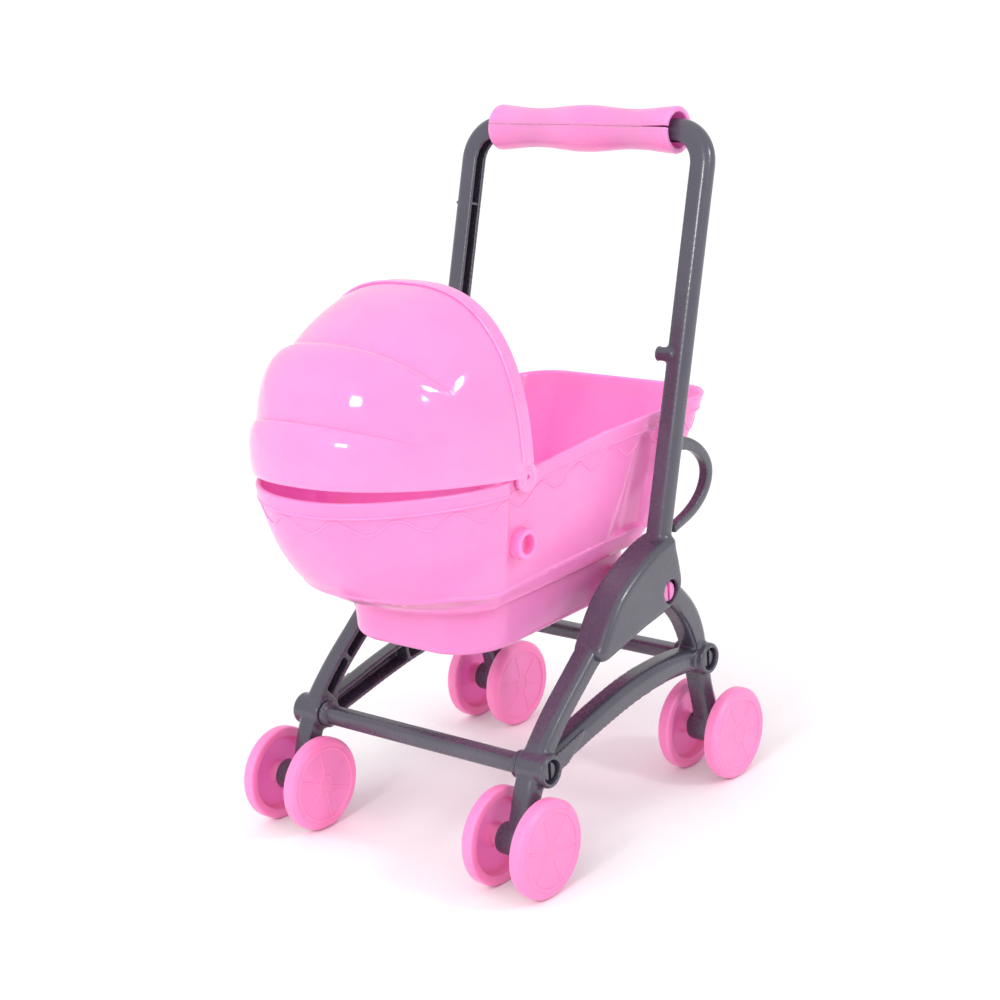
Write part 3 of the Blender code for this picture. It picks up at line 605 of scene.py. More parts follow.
# centre lines in the side plane, as (y, z, width) in mm
FRONT_LEG = scaled([(28.2, 79.5, 8.4), (12.0, 76.8, 7.4), (-5.2, 68.7, 6.8), (-15.9, 61.1, 6.5),
                    (-27.3, 52.1, 6.5), (-36.8, 42.5, 6.8), (-42.4, 33.7, 6.6), (-45.8, 24.5, 6.5),
                    (-48.4, 17.0, 6.4)])
REAR_LEG = scaled([(33.4, 79.6, 10.0), (42.0, 73.4, 9.0), (49.1, 65.6, 8.8), (53.4, 56.8, 8.2),
                   (55.6, 47.2, 6.8), (57.6, 38.0, 6.4), (60.0, 27.5, 6.4), (62.3, 17.0, 6.4)])
STRUT = scaled([(-37.6, 37.8, 8.0), (-22.8, 40.8, 8.3), (-4.8, 44.6, 8.8), (14.2, 47.6, 9.0),
                (33.2, 48.4, 8.8), (51.7, 46.8, 8.4)])
# the channels on the inner side stop short of the bosses, and each ends where its rib stands
CHANNELS = (scaled([(9.0, 75.3, 7.4), (-5.2, 68.7, 6.8), (-15.9, 61.1, 6.5), (-23.0, 55.5, 6.5)]),
            scaled([(-24.6, 54.3, 6.5), (-28.9, 50.5, 6.5), (-34.4, 45.2, 6.7)]),
            scaled([(40.6, 74.8, 8.2), (45.3, 70.2, 8.9), (49.1, 65.6, 8.8), (52.9, 57.6, 8.3)]),
            scaled([(-30.6, 39.2, 8.2), (-22.8, 40.8, 8.3), (-4.8, 44.6, 8.8), (7.2, 46.6, 8.9)]),
            scaled([(8.6, 46.8, 8.9), (14.2, 47.6, 9.0), (33.2, 48.4, 8.8), (44.2, 47.7, 8.6)]))


def side_frame_solid():
    """The left side frame: two legs, an arched strut, snap bosses, axle housings and the hub in one."""
    parts = [side_slab("front_leg", ribbon(FRONT_LEG, 8), LEG_INNER_X, LEG_OUTER_X, 1, 2.9 * MM, True),
             side_slab("rear_leg", ribbon(REAR_LEG, 8), LEG_INNER_X, LEG_OUTER_X - 0.1 * MM, 1, 2.8 * MM, True),
             side_slab("strut", ribbon(STRUT, 8), LEG_INNER_X, LEG_OUTER_X - 0.3 * MM, 1, 3.4 * MM, True)]
    for index, boss in enumerate((FRONT_BOSS, REAR_BOSS)):
        parts.append(drum(f"boss_{index}", BOSS_RADIUS, LEG_INNER_X - 1.2 * MM, BOSS_OUTER_X, boss, 1,
                          0.8 * MM))
    for end, axle_y in ENDS:
        parts.append(drum("housing_" + end, HOUSING_RADIUS, SIDE_LOW.x, SIDE_HIGH.x, (axle_y, WHEEL_RADIUS), 1,
                          0.5 * MM))
    parts.append(drum("hub", HUB_RADIUS, LEG_INNER_X, LEG_OUTER_X - 0.3 * MM, HUB, 1, 0.4 * MM))
    solid = carved(parts[0], parts[1:], "UNION")
    cutters = [side_slab(f"channel_{k}", ribbon(points, 8, -2 * LEG_WALL, True), LEG_INNER_X - 1 * MM,
                         LEG_OUTER_X - LEG_WALL - 0.5 * MM) for k, points in enumerate(CHANNELS)]
    for index, boss in enumerate((FRONT_BOSS, REAR_BOSS)):
        cutters.append(drum(f"boss_bore_{index}", BOSS_BORE, *BORE_SPAN, boss, 1, 0.1 * MM))
    for end, axle_y in ENDS:
        cutters.append(drum("axle_bore_" + end, AXLE_RADIUS + PIN_GAP, *BORE_SPAN, (axle_y, WHEEL_RADIUS), 1,
                            0.1 * MM, 24))
    cutters.append(drum("hub_bore", HUB_BORE, *BORE_SPAN, HUB, 1, 0.1 * MM))
    return moulded(carved(solid, cutters), 0.42 * MM, 8)


def side_frames():
    left = side_frame_solid()
    right = bpy.data.objects.new("right", left.data.copy())
    right.data.transform(Matrix.Diagonal((-1, 1, 1, 1)))
    right.data.flip_normals()
    stand_in(left, "side_frame_left", GREY, 180)
    stand_in(right, "side_frame_right", GREY, 180)


# ---- crossbars ----

def split_pin(name, radius, start_x, end_x, yz, side):
    """A snap pin: a round stud with a lead-in end, slotted into two prongs."""
    depth = end_x - start_x
    profile = fillet([(0, 0), (radius, 0), (radius, depth - 1.1 * MM), (radius - 0.7 * MM, depth), (0, depth)],
                     [0, 0, 0.5 * MM, 0.4 * MM, 0], 4)
    pin = turned(name, profile, lateral(side * start_x, yz, side), 40)
    slot = 0.65 * MM
    low, high = sorted((side * (end_x - 7 * MM), side * (end_x + 1 * MM)))
    cutter = block(name + "_slot", (low, yz[0] - slot, yz[1] - 6 * MM), (high, yz[0] + slot, yz[1] + 6 * MM))
    return moulded(carved(pin, [cutter]), 0.22 * MM, 4)


def crossbar(node, boss, width, height):
    """A rounded square bar with a collar and a snap pin at each end."""
    tip_x = node_box(node)[1].x
    collar_x = LEG_INNER_X - 1.5 * MM
    section = fillet([(-width / 2, -height / 2), (width / 2, -height / 2), (width / 2, height / 2),
                      (-width / 2, height / 2)], 1.7 * MM, 6)
    stations = 24
    path = [Vector((between(-collar_x, collar_x, k / stations), boss[0], boss[1])) for k in range(stations + 1)]
    parts = [sweep(node, path, section, [Vector((0, 0, 1))] * len(path))]
    for word, side in SIDES:
        depth = 2.6 * MM
        profile = fillet([(0, 0), (3.2 * MM, 0), (4.8 * MM, 0.9 * MM), (4.8 * MM, depth), (0, depth)],
                         [0, 0.4 * MM, 0.5 * MM, 0.3 * MM, 0], 4)
        parts.append(turned("collar_" + word, profile, lateral(side * (collar_x - depth), boss, side), 40))
        parts.append(split_pin("pin_" + word, BOSS_BORE - PIN_GAP, collar_x - 1 * MM, tip_x, boss, side))
    stand_in(combined(node, parts), node, GREY)


# ---- handle and grips ----

def handle_plane():
    """The plane of the handle: X across, Y up along the rake, Z to the front, from the uprights' foot."""
    up = Vector((0, math.sin(RAKE), math.cos(RAKE)))
    out = Vector((0, -math.cos(RAKE), math.sin(RAKE)))
    foot = Vector((0, GRIP_AXIS[0], GRIP_AXIS[1])) - up * FOOT_BELOW_GRIP
    return Matrix(((1, up.x, out.x, foot.x), (0, up.y, out.y, foot.y), (0, up.z, out.z, foot.z), (0, 0, 0, 1)))


def u_line(foot, stop_x):
    """Half of the handle's centre line in its plane, from the foot up, round the corner, to stop_x."""
    line = [(UPRIGHT_X, between(foot, FOOT_BELOW_GRIP - BAR_CORNER, k / 24)) for k in range(24)]
    for step in range(17):
        turn = math.radians(90 * step / 16)
        line.append((UPRIGHT_X - BAR_CORNER + BAR_CORNER * math.cos(turn),
                     FOOT_BELOW_GRIP - BAR_CORNER + BAR_CORNER * math.sin(turn)))
    corner_x = UPRIGHT_X - BAR_CORNER
    line += [(between(corner_x, stop_x, k / 8), FOOT_BELOW_GRIP) for k in range(1, 9)]
    return line


# outline of a hub cover in the side plane, as (y, z) in mm, from its lower tip round by the rear
COVER = scaled([(-6.3, 65.7), (2.0, 67.0), (16.8, 70.2), (30.2, 72.4), (37.2, 75.2), (40.2, 80.4),
                (39.6, 86.8), (38.2, 93.0), (36.6, 98.0), (27.6, 96.9), (19.4, 94.0), (11.2, 90.1),
                (3.8, 85.5), (-1.2, 80.4), (-5.7, 74.3), (-8.8, 69.0)])
# the finger loop behind each upright, as (y, z, width) in mm
LOOP = scaled([(45.7, 128.8, 4.6), (53.6, 126.4, 4.3), (60.2, 122.2, 4.0), (64.2, 116.6, 4.0),
               (64.0, 111.0, 4.0), (60.2, 105.8, 3.8), (53.0, 101.6, 3.5), (41.4, 98.4, 3.0)])


def drawn_in(outline, by):
    """A flat outline moved inwards by a distance."""
    count = len(outline)
    moved = []
    for i in range(count):
        along = (Vector(outline[(i + 1) % count]) - Vector(outline[i - 1])).normalized()
        moved.append((outline[i][0] - along.y * by, outline[i][1] + along.x * by))
    return moved


def handle():
    """U-shaped bar, open channels inside it, with a hollow hub cover, a finger loop and a peg on each side."""
    plane = handle_plane()
    half = u_line(-6 * MM, 0.0)
    line = half[:-1] + [(-x, s) for x, s in half[::-1]]
    front = plane.to_3x3() @ Vector((0, 0, 1))
    wide, deep = BAR_WIDTH / 2, BAR_DEPTH / 2
    section = fillet([(-wide, -deep), (wide, -deep), (wide, deep), (-wide, deep)],
                     [0.9 * MM, 3.1 * MM, 3.1 * MM, 0.9 * MM], 8)
    path = [plane @ Vector((x, s, 0)) for x, s in line]
    bar = sweep("handle", path, section, [front] * len(path))
    cover = catmull(COVER, 6, closed=True)
    parts, cutters = [], []
    for word, side in SIDES:
        parts.append(side_slab("cover_" + word, cover, COVER_INNER_X, COVER_OUTER_X, side, 2.6 * MM, True))
        parts.append(side_slab("loop_" + word, ribbon(LOOP, 8), 49.2 * MM, 53.7 * MM, side, 1.4 * MM))
        parts.append(drum("peg_" + word, 3.1 * MM, 42.4 * MM, 50.0 * MM, PEG, side, 0.9 * MM))
        cutters.append(side_slab("pocket_" + word, drawn_in(cover, COVER_WALL), COVER_INNER_X - 1 * MM,
                                 COVER_OUTER_X - COVER_WALL - 0.6 * MM, side))
        cutters.append(drum("hub_bore_" + word, HUB_BORE, *BORE_SPAN, HUB, side, 0.1 * MM))
        hollow = fillet([(-2 * wide, BAR_WALL - deep), (wide - BAR_WALL, BAR_WALL - deep),
                         (wide - BAR_WALL, deep - BAR_WALL), (-2 * wide, deep - BAR_WALL)],
                        [0, 1.0 * MM, 1.0 * MM, 0], 4)
        rail = [(side * x, s) for x, s in u_line(8 * MM, 34 * MM)]
        if side < 0:
            rail = rail[::-1]
        cutters.append(sweep("channel_" + word, [plane @ Vector((x, s, 0)) for x, s in rail], hollow,
                             [front] * len(rail)))
    solid = carved(carved(bar, parts, "UNION"), cutters)
    solid = moulded(solid, 0.62 * MM, 6)
    ribs = []
    for word, side in SIDES:
        for along in (41 * MM, 78 * MM, 113 * MM):
            rib_box = block("rib", (-wide + 0.5 * MM, -0.45 * MM, -deep + 0.8 * MM),
                            (wide - 1.0 * MM, 0.45 * MM, deep - 0.8 * MM))
            rib_box.data.transform(plane @ Matrix.Translation((side * UPRIGHT_X, along, 0)))
            ribs.append(rib_box)
    stand_in(combined("handle", [solid] + ribs), "handle", GREY, 70)


def grip_radius(x):
    """Outer radius of the grip: full at the middle and the ends, waisted between."""
    along = abs(x) / GRIP_HALF
    return (7.65 + 0.65 * math.cos(2 * math.pi * min(along, 1.0) * 0.93)) * MM


def grip_half(node, facing):
    """One of the two grip shells. The seam faces the front, and opens in a thin wedge towards the left end."""
    plane = handle_plane() @ Matrix.Translation((0, FOOT_BELOW_GRIP, 0))
    bore = 6.2 * MM
    edge = 0.9 * MM
    ends = [(edge * (1 - math.cos(math.pi / 2 * k / 6)), edge * (1 - math.sin(math.pi / 2 * k / 6)))
            for k in range(7)]
    stations = [(GRIP_HALF - along, drop) for along, drop in ends]
    stations += [(between(GRIP_HALF - edge, -GRIP_HALF + edge, k / 72), 0.0) for k in range(1, 72)]
    stations += [(-GRIP_HALF + along, drop) for along, drop in ends[::-1]]
    rings = []
    for x, drop in stations:
        radius = grip_radius(x) - drop
        wall_bore = bore + drop * 0.35
        wedge = 0.005 + 0.05 * max((x / GRIP_HALF - 0.62) / 0.38, 0.0) ** 1.2
        steps = 36
        ring = []
        for k in range(steps + 1):
            turn = between(wedge, math.pi - 0.005, k / steps)
            soft = 0.14 * MM * (math.exp(-k / 1.5) + math.exp(-(steps - k) / 1.5))
            ring.append((radius - soft, turn))
        ring += [(wall_bore, between(math.pi - 0.005, wedge, k / 24)) for k in range(25)]
        rings.append([plane @ Vector((x, facing * r * math.sin(turn), r * math.cos(turn))) for r, turn in ring])
    stand_in(loft(node, rings), node, PINK, 50)


# ---- base tray ----

def rounded_box(half_width, low_y, high_y, front, rear, z, steps=16):
    """A level ring with corners of one radius at the front and another at the rear."""
    ring = []
    for side_x, end_y, corner, start in ((1, high_y, rear, 0), (-1, high_y, rear, 90), (-1, low_y, front, 180),
                                         (1, low_y, front, 270)):
        cx = side_x * (half_width - corner)
        cy = end_y - corner if start < 180 else end_y + corner
        for step in range(steps + 1):
            turn = math.radians(start + 90 * step / steps)
            ring.append(Vector((cx + corner * math.cos(turn), cy + corner * math.sin(turn), z)))
    return ring


def base_tray():
    """A shallow box with a rounded keel, open on top under the tub, with an arm and a split pin to each hub."""
    half = 32.0 * MM
    front, rear = 20.0 * MM, 17.0 * MM
    bottom, top = TRAY_LOW.z, TRAY_HIGH.z
    section = fillet([(8 * MM, bottom), (0.5 * MM, bottom), (0.0, top), (SHELL, top),
                      (SHELL, bottom + SHELL), (9 * MM, bottom + SHELL)],
                     [0, 2.6 * MM, 0.6 * MM, 0.6 * MM, 1.8 * MM, 0], 8, closed=False)
    rings = [rounded_box(half - inset, TRAY_LOW.y + inset, TRAY_HIGH.y - inset, front - inset, rear - inset, z)
             for inset, z in section]
    parts = [loft("base_tray", rings)]
    for word, side in SIDES:
        parts.append(drum("arm_" + word, 5.8 * MM, half - 3 * MM, LEG_INNER_X - 1.4 * MM, HUB, side, 0.5 * MM))
        parts.append(split_pin("pin_" + word, HUB_BORE - PIN_GAP, LEG_INNER_X - 3 * MM, TRAY_HIGH.x, HUB, side))
    stand_in(carved(parts[0], parts[1:], "UNION"), "base_tray", TRAY_PINK, 50)


# ---- tub ----

FRONT_STEPS, STEP_STEPS, SIDE_STEPS, CORNER_STEPS, TAIL_STEPS = 72, 10, 84, 26, 16


def tub_level(height):
    """Half-width, front reach and rear reach of the tub's outer wall at a height between 0 and 1."""
    t = min(max(height, 0.0), 1.0)
    bulge = (1 - (1 - t) ** 1.7) ** (1 / 1.7)
    half = between(36.0 * MM, TUB_HALF_WIDTH, t ** 0.5)
    front = between(-50.8 * MM, RIM_FRONT_Y, bulge)
    rear = between(55.2 * MM, RIM_REAR_Y, t ** 0.9)
    return half, front, rear


def superellipse(turn, power):
    return max(math.cos(turn), 0.0) ** (2 / power), max(math.sin(turn), 0.0) ** (2 / power)


def left_outline(height):
    """The tub's left outline at a height, from the front's middle to the tail's. Each point is (x, y)."""
    half, front, rear = tub_level(height)
    bowl = half + BOWL_STEP
    reach = front - PIVOT_Y
    end = math.asin(((STEP_Y - PIVOT_Y) / reach) ** (BOWL_POWER / 2))
    line = []
    for i in range(FRONT_STEPS + 1):
        turn = between(math.pi / 2, end, i / FRONT_STEPS)
        across, out = superellipse(turn, BOWL_POWER)
        line.append((bowl * across, PIVOT_Y + reach * out))
    edge_x = line[-1][0]
    fade = between(5.0 * MM, 26 * MM, ease(1.25 - height * 3.0))
    for i in range(1, STEP_STEPS + 1):
        t = i / STEP_STEPS
        line.append((between(edge_x, half, ease(t)), STEP_Y + fade * t))
    corner_y = rear - TAIL_CROWN - TUB_CORNER
    for i in range(1, SIDE_STEPS):
        line.append((half, between(STEP_Y + fade, corner_y, i / SIDE_STEPS)))
    for i in range(CORNER_STEPS + 1):
        across, behind = superellipse(math.pi / 2 * i / CORNER_STEPS, 2.3)
        tail = TUB_CORNER * behind + TAIL_CROWN * (1 - across)
        line.append((half - TUB_CORNER * (1 - across), corner_y + tail))
    for i in range(1, TAIL_STEPS + 1):
        line.append((between(half - TUB_CORNER, 0.0, i / TAIL_STEPS), rear))
    return line


def closed_outline(height):
    """The whole outline with its level outward normals, from the front's middle round by the left."""
    left = left_outline(height)
    line = left + [(-x, y) for x, y in left[-2:0:-1]]
    count = len(line)
    normals = []
    for i in range(count):
        along = (Vector(line[(i + 1) % count]) - Vector(line[i - 1])).normalized()
        normals.append((along.y, -along.x))
    return line, normals


def rim_top(y):
    """Height of the rim: level over the sides, dipping beside the pivots, rising again towards the front."""
    if y > STEP_Y:
        return TUB_RIM - RIM_DIP * (1 - min((y - STEP_Y) / (RIM_LEVEL_Y - STEP_Y), 1.0))
    forward = (STEP_Y - y) / (STEP_Y - RIM_FRONT_Y)
    return TUB_RIM - RIM_DIP + RIM_CLIMB * math.sin(math.pi / 2 * min(forward, 1.0)) ** 1.6


def flange_rise(y):
    """The flange climbs a little round the front of the bowl."""
    return 2.0 * MM * ease((STEP_Y - y) / (20 * MM))


def recess(y, z):
    """Depth of the shallow recess in each side, in line with the upright that passes it."""
    up = (z - 101 * MM) / (31 * MM)
    front = between(32 * MM, 42 * MM, up)
    soft = between(11 * MM, 3.5 * MM, min(max(up, 0.0), 1.0))
    across = ease((y - front + soft) / soft) * ease((front + 12.5 * MM - y) / (3.0 * MM))
    return 1.9 * MM * across * ease((z - 97.8 * MM) / (1.2 * MM)) * ease((132.2 * MM - z) / (1.2 * MM))


def wall_depth(y, z):
    """How far the outer skin lies inside the outline of the rim band and the flange."""
    low = z - flange_rise(y)
    foot = FOOT_INSET * (1 - ease((low - FLANGE_Z + 0.5 * MM) / (0.5 * MM)))
    wall = WALL_INSET * ease((low - FLANGE_Z - 1.3 * MM) / (0.7 * MM)) * (1 - ease((z - BAND_Z) / (0.6 * MM)))
    notch_y = bump_between(y, 43.5 * MM, 50 * MM, 0.8 * MM)
    notch_z = bump_between(z, 134.2 * MM, 136.2 * MM, 0.5 * MM)
    return foot + wall + recess(y, z) + 0.5 * MM * notch_y * notch_z


def tub_row(z, inset, plain=False):
    """One row of the tub's skin, at the height z that it has where the rim is level. A plain row is an inner
    one, which follows only the side recess."""
    height = (z - TUB_BOTTOM) / (TUB_RIM - TUB_BOTTOM)
    line, normals = closed_outline(height)
    row = []
    for (x, y), (nx, ny) in zip(line, normals):
        depth = inset + (recess(y, z) if plain else wall_depth(y, z))
        top = rim_top(y)
        row.append(Vector((x - nx * depth, y - ny * depth, between(TUB_BOTTOM, top, height))))
    return row


def heights(*stops):
    """Heights in mm from one stop to the next, as (from, to, count) runs."""
    return [between(low, high, k / count) * MM for low, high, count in stops for k in range(count)]


def tub_skin():
    """The tub's shell: up the outside in rows, over the round rim, down the inside and across the floor."""
    foot = ((0, 1.3), (0.0, 0.9), (0.12, 0.45), (0.5, 0.1))
    rows = [tub_row(TUB_BOTTOM + z * MM, inset * MM) for z, inset in foot]
    for z in heights((91.2, 95.4, 4), (95.4, 99.6, 22), (99.6, 101.0, 3), (101.0, 130.4, 34),
                     (130.4, 137.1, 22)):
        rows.append(tub_row(z, 0.0))
    round_edge = SHELL / 2
    for k in range(9):
        turn = math.pi * k / 8
        z = TUB_RIM - round_edge * (1 - math.sin(turn))
        rows.append(tub_row(z, round_edge * (1 - math.cos(turn)), True))
    floor = TUB_BOTTOM + SHELL
    corner = 5.0 * MM
    for z in heights((136.4, 97.2, 26)):
        rows.append(tub_row(z, SHELL, True))
    for k in range(9):
        turn = math.pi / 2 * k / 8
        row = tub_row(floor + corner * (1 - math.sin(turn)), SHELL + corner * (1 - math.cos(turn)), True)
        rows.append([Vector((p.x, p.y, max(p.z, floor))) for p in row])
    centre = Vector((0, 0, floor))
    rows.append([p.lerp(centre, 0.5) for p in rows[-1]])
    return loft("tub", rows)


def along_wall(z_of, sink=0.0):
    """A closed path round the tub's skin at the height z_of gives for each point's place along the outline."""
    base, _ = closed_outline(0.9)
    count = len(base)
    run = [0.0]
    for i in range(count):
        run.append(run[-1] + (Vector(base[(i + 1) % count]) - Vector(base[i])).length)
    path, outward = [], []
    for i in range(count):
        z = z_of(run[i], run[-1])
        height = (z - TUB_BOTTOM) / (TUB_RIM - TUB_BOTTOM)
        line, normals = closed_outline(height)
        x, y = line[i]
        nx, ny = normals[i]
        depth = wall_depth(y, z) + sink
        path.append(Vector((x - nx * depth, y - ny * depth, between(TUB_BOTTOM, rim_top(y), height))))
        outward.append(Vector((nx, ny, 0)))
    return path, outward


def wave_height(run, length):
    """The embossed wavy line: a whole number of even waves round the tub, under the rim band."""
    waves = round(length / (20.3 * MM))
    return BAND_Z - 3.4 * MM - 2.4 * MM * math.cos(math.tau * (waves * run / length - 0.19))


def socket(word, side):
    """A moulded socket on the tub's side: a round boss with a soft rim and a blind bore."""
    outer = TUB_HIGH.x
    base = 39.8 * MM
    depth = outer - base
    profile = fillet([(0, 0), (5.4 * MM, 0), (5.4 * MM, 1.1 * MM), (5.0 * MM, 2.0 * MM), (4.9 * MM, depth),
                      (3.25 * MM, depth), (3.1 * MM, 1.1 * MM), (0, 1.1 * MM)],
                     [0, 0, 0.8 * MM, 0.6 * MM, 0.7 * MM, 0.6 * MM, 0.3 * MM, 0], 5)
    return turned("socket_" + word, profile, lateral(side * base, SOCKET, side), 56)


def tub():
    parts = [tub_skin()]
    bead, outward = along_wall(lambda run, length: BAND_Z + 0.5 * MM)
    parts.append(ridge("bead", bead, outward, 0.9 * MM, 0.35 * MM, closed=True))
    wave, outward = along_wall(wave_height)
    parts.append(ridge("wave", wave, outward, 0.9 * MM, 0.36 * MM, closed=True))
    for word, side in SIDES:
        parts.append(socket(word, side))
    stand_in(carved(parts[0], parts[1:], "UNION"), "tub", PINK, 60)


# ---- hood ----

def hood_radius(angle):
    """Distance from the hinge's axis to the dome's crown line: each lower fold swells just under its tuck."""
    low, high = CREASES
    if angle >= high:
        t = (angle - high) / (90 - high)
        return between(CREASE_RADII[1], HOOD_RISE, t) - 0.6 * MM * math.sin(math.pi * min(t, 1.0))
    if angle >= low:
        t = (high - angle) / (high - low)
        return between(CREASE_RADII[1], CREASE_RADII[0], t) + 4.6 * MM * math.sin(math.pi * t ** 0.55)
    t = (low - angle) / (low - HOOD_LIP)
    return between(CREASE_RADII[0], HOOD_REACH, t) + 2.3 * MM * math.sin(math.pi * t ** 0.6)


def hood_point(angle, turn, inset, offset_y=0.0):
    """A point of the dome: angle is the fold's rise in degrees, turn runs from the left foot over the top."""
    share = (angle - HOOD_LIP) / (90 - HOOD_LIP)
    plain = between(HOOD_REACH, HOOD_RISE, share)
    across, out = superellipse(min(turn, math.pi - turn), between(BOWL_POWER, 2.65, share))
    folded = ease((out - 0.63) / 0.19)     # the folds run out towards the pivots
    reach = (between(plain, hood_radius(angle), folded) - inset) * out
    lean = math.radians(angle)
    x = (HOOD_HALF_WIDTH - inset) * across * (1 if turn < math.pi / 2 else -1)
    return Vector((x, PIVOT_Y - reach * math.cos(lean) + offset_y, PIVOT_Z + reach * math.sin(lean)))


def hood_angles():
    """Fold angles from the lip to upright, closer together above and below each tuck."""
    low, high = CREASES
    angles = []
    for start, stop, count in ((HOOD_LIP, low, 26), (low, high, 30), (high, 90.0, 36)):
        for k in range(count):
            t = k / count
            angles.append(between(start, stop, 1 - (1 - t) ** 1.6 if stop < 90 else t ** 1.25))
    return angles + [90.0]


def hood_skin():
    """The dome's shell, built of sections that each run from the lip to the opening and back inside."""
    angles = hood_angles()
    half = SHELL / 2
    turns = [math.pi * k / 8 for k in range(1, 8)]
    edge = [(half * (1 - math.cos(a)), half * (1 - math.sin(a))) for a in turns]
    back = [HOOD_SETBACK * k / 6 for k in range(1, 6)]
    reach = math.degrees(1 / HOOD_REACH)
    rings = []
    for i in range(151):
        turn = math.radians(between(1.6, 178.4, i / 150))
        ring = [hood_point(angle, turn, 0.0) for angle in angles[2:]]
        ring += [hood_point(90.0, turn, 0.0, y) for y in back]
        ring += [hood_point(90.0, turn, inset, HOOD_SETBACK - pull) for inset, pull in edge]
        ring += [hood_point(90.0, turn, SHELL, y) for y in back[::-1]]
        ring += [hood_point(angle, turn, SHELL) for angle in angles[:1:-1]]
        ring += [hood_point(HOOD_LIP + pull * reach, turn, inset) for inset, pull in edge[::-1]]
        rings.append(ring)
    return loft("hood", rings)


def arch_ridge(name, offset_y, width, height):
    """A moulded line over the dome, parallel to the opening."""
    path, outward = [], []
    for i in range(121):
        turn = math.radians(between(2.5, 177.5, i / 120))
        here = hood_point(90.0, turn, 0.0, offset_y)
        inside = hood_point(90.0, turn, 1 * MM, offset_y)
        path.append(here)
        outward.append((here - inside).normalized())
    return ridge(name, path, outward, width, height)


def hood_tab(word, side):
    """A round pivot tab with a ring round its dimpled middle, and the stud that it turns on."""
    inner = TUB_HALF_WIDTH + 0.3 * MM
    top = TAB_OUTER_X - 0.3 * MM - inner
    ring_top, dimple = top + 0.3 * MM, top - 0.9 * MM
    profile = fillet([(0, 0), (TAB_RADIUS, 0), (TAB_RADIUS, top), (3.3 * MM, top), (3.15 * MM, ring_top),
                      (2.55 * MM, ring_top), (2.4 * MM, top), (0.85 * MM, top), (0.6 * MM, dimple),
                      (0, dimple)],
                     [0, 0.3 * MM, 0.6 * MM, 0.15 * MM, 0.2 * MM, 0.2 * MM, 0.15 * MM, 0.2 * MM, 0.2 * MM, 0], 5)
    tab = turned("tab_" + word, profile, lateral(side * inner, (PIVOT_Y, PIVOT_Z), side), 56)
    stud = drum("stud_" + word, 1.8 * MM, TUB_HALF_WIDTH - 2.6 * MM, inner + 1 * MM, (PIVOT_Y, PIVOT_Z), side,
                0.4 * MM, 32)
    return [tab, stud]


def hood():
    parts = [hood_skin(), arch_ridge("arch_bead", -2.4 * MM, 1.2 * MM, 0.6 * MM)]
    for word, side in SIDES:
        parts += hood_tab(word, side)
    stand_in(carved(parts[0], parts[1:], "UNION"), "hood", HOOD_PINK, 60)


# ---- the studio ----

def look_from(azimuth, elevation, roll):
    """Axes of a camera: right, up and backwards. Azimuth 0 looks along +Y, with +X to the right."""
    a, e = math.radians(azimuth), math.radians(elevation)
    back = Vector((math.sin(a) * math.cos(e), -math.cos(a) * math.cos(e), math.sin(e)))
    right = Vector((0, 0, 1)).cross(back).normalized()
    up = back.cross(right)
    c, s = math.cos(math.radians(roll)), math.sin(math.radians(roll))
    return right * c + up * s, up * c - right * s, back


def camera():
    """A long lens from the front left, a little above the hood."""
    data = bpy.data.cameras.new("camera")
    data.sensor_width = 36
    data.lens = 74.0
    data.clip_start = 0.01
    made = bpy.data.objects.new("camera", data)
    right, up, back = look_from(40.17, 16.02, -3.95)
    place = Vector((0.4468, -0.5174, 0.3091))
    made.matrix_world = Matrix(((right.x, up.x, back.x, place.x), (right.y, up.y, back.y, place.y),
                                (right.z, up.z, back.z, place.z), (0, 0, 0, 1)))
    bpy.context.scene.collection.objects.link(made)
    bpy.context.scene.camera = made


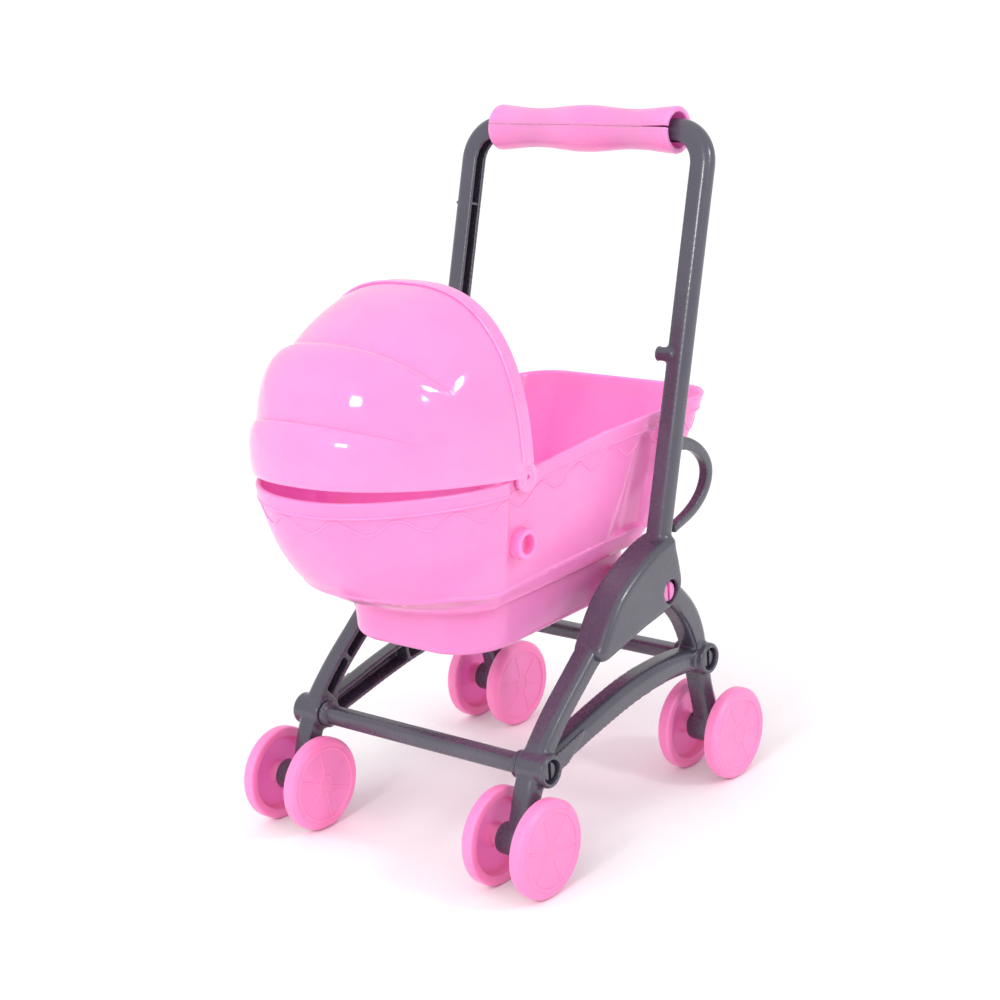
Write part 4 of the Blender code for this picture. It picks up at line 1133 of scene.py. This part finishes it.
def softbox(name, azimuth, elevation, distance, width, height, power, target=(0, 0, 0.13)):
    """A rectangular lamp aimed at the stroller from a direction round it."""
    data = bpy.data.lights.new(name, "AREA")
    data.shape = "RECTANGLE"
    data.size = width
    data.size_y = height
    data.energy = power
    made = bpy.data.objects.new(name, data)
    right, up, back = look_from(azimuth, elevation, 0)
    place = Vector(target) + back * distance
    made.matrix_world = Matrix(((right.x, up.x, back.x, place.x), (right.y, up.y, back.y, place.y),
                                (right.z, up.z, back.z, place.z), (0, 0, 0, 1)))
    bpy.context.scene.collection.objects.link(made)


def studio():
    """White surroundings, three small lamps that give the gloss its spots, and a broad soft light."""
    world = bpy.data.worlds.new("studio")
    world.use_nodes = True
    sky = world.node_tree.nodes["Background"]
    sky.inputs["Color"].default_value = (1.0, 1.0, 1.0, 1.0)
    sky.inputs["Strength"].default_value = 0.84
    bpy.context.scene.world = world
    bpy.context.scene.view_settings.view_transform = "Standard"
    softbox("key", 100, 33, 1.0, 0.10, 0.14, 1.7)
    softbox("spot", 89, 21, 1.2, 0.05, 0.05, 0.5)
    softbox("front", 10, 27, 1.1, 0.20, 0.12, 2.0)
    # broad light from above the front, without a reflection of its own
    data = bpy.data.lights.new("sky_light", "SUN")
    data.energy = 1.1
    data.angle = math.radians(70)
    high = bpy.data.objects.new("sky_light", data)
    high.rotation_euler = (math.radians(40), 0, math.radians(-10))
    high.visible_glossy = False
    bpy.context.scene.collection.objects.link(high)


def floor():
    mesh = bpy.data.meshes.new("floor")
    reach = 40.0
    mesh.from_pydata([(-reach, -reach, 0), (reach, -reach, 0), (reach, reach, 0), (-reach, reach, 0)], [],
                     [(0, 1, 2, 3)])
    made = bpy.data.objects.new("floor", mesh)
    graph = Graph("pale_floor")
    tone = graph.blend(graph.noise(0.15, 2.0), (0.96, 0.96, 0.96), (0.94, 0.94, 0.945))
    graph.link(tone, graph.shader.inputs["Base Color"])
    graph.shader.inputs["Roughness"].default_value = 0.9
    graph.shader.inputs["Specular IOR Level"].default_value = 0.1
    mesh.materials.append(graph.material)
    bpy.context.scene.collection.objects.link(made)


camera()
studio()
floor()
wheels()
axles()
side_frames()
crossbar("crossbar_front", FRONT_BOSS, 6.2 * MM, 6.0 * MM)
crossbar("crossbar_rear", REAR_BOSS, 6.6 * MM, 5.2 * MM)
handle()
grip_half("grip_upper", 1)
grip_half("grip_lower", -1)
base_tray()
tub()
hood()
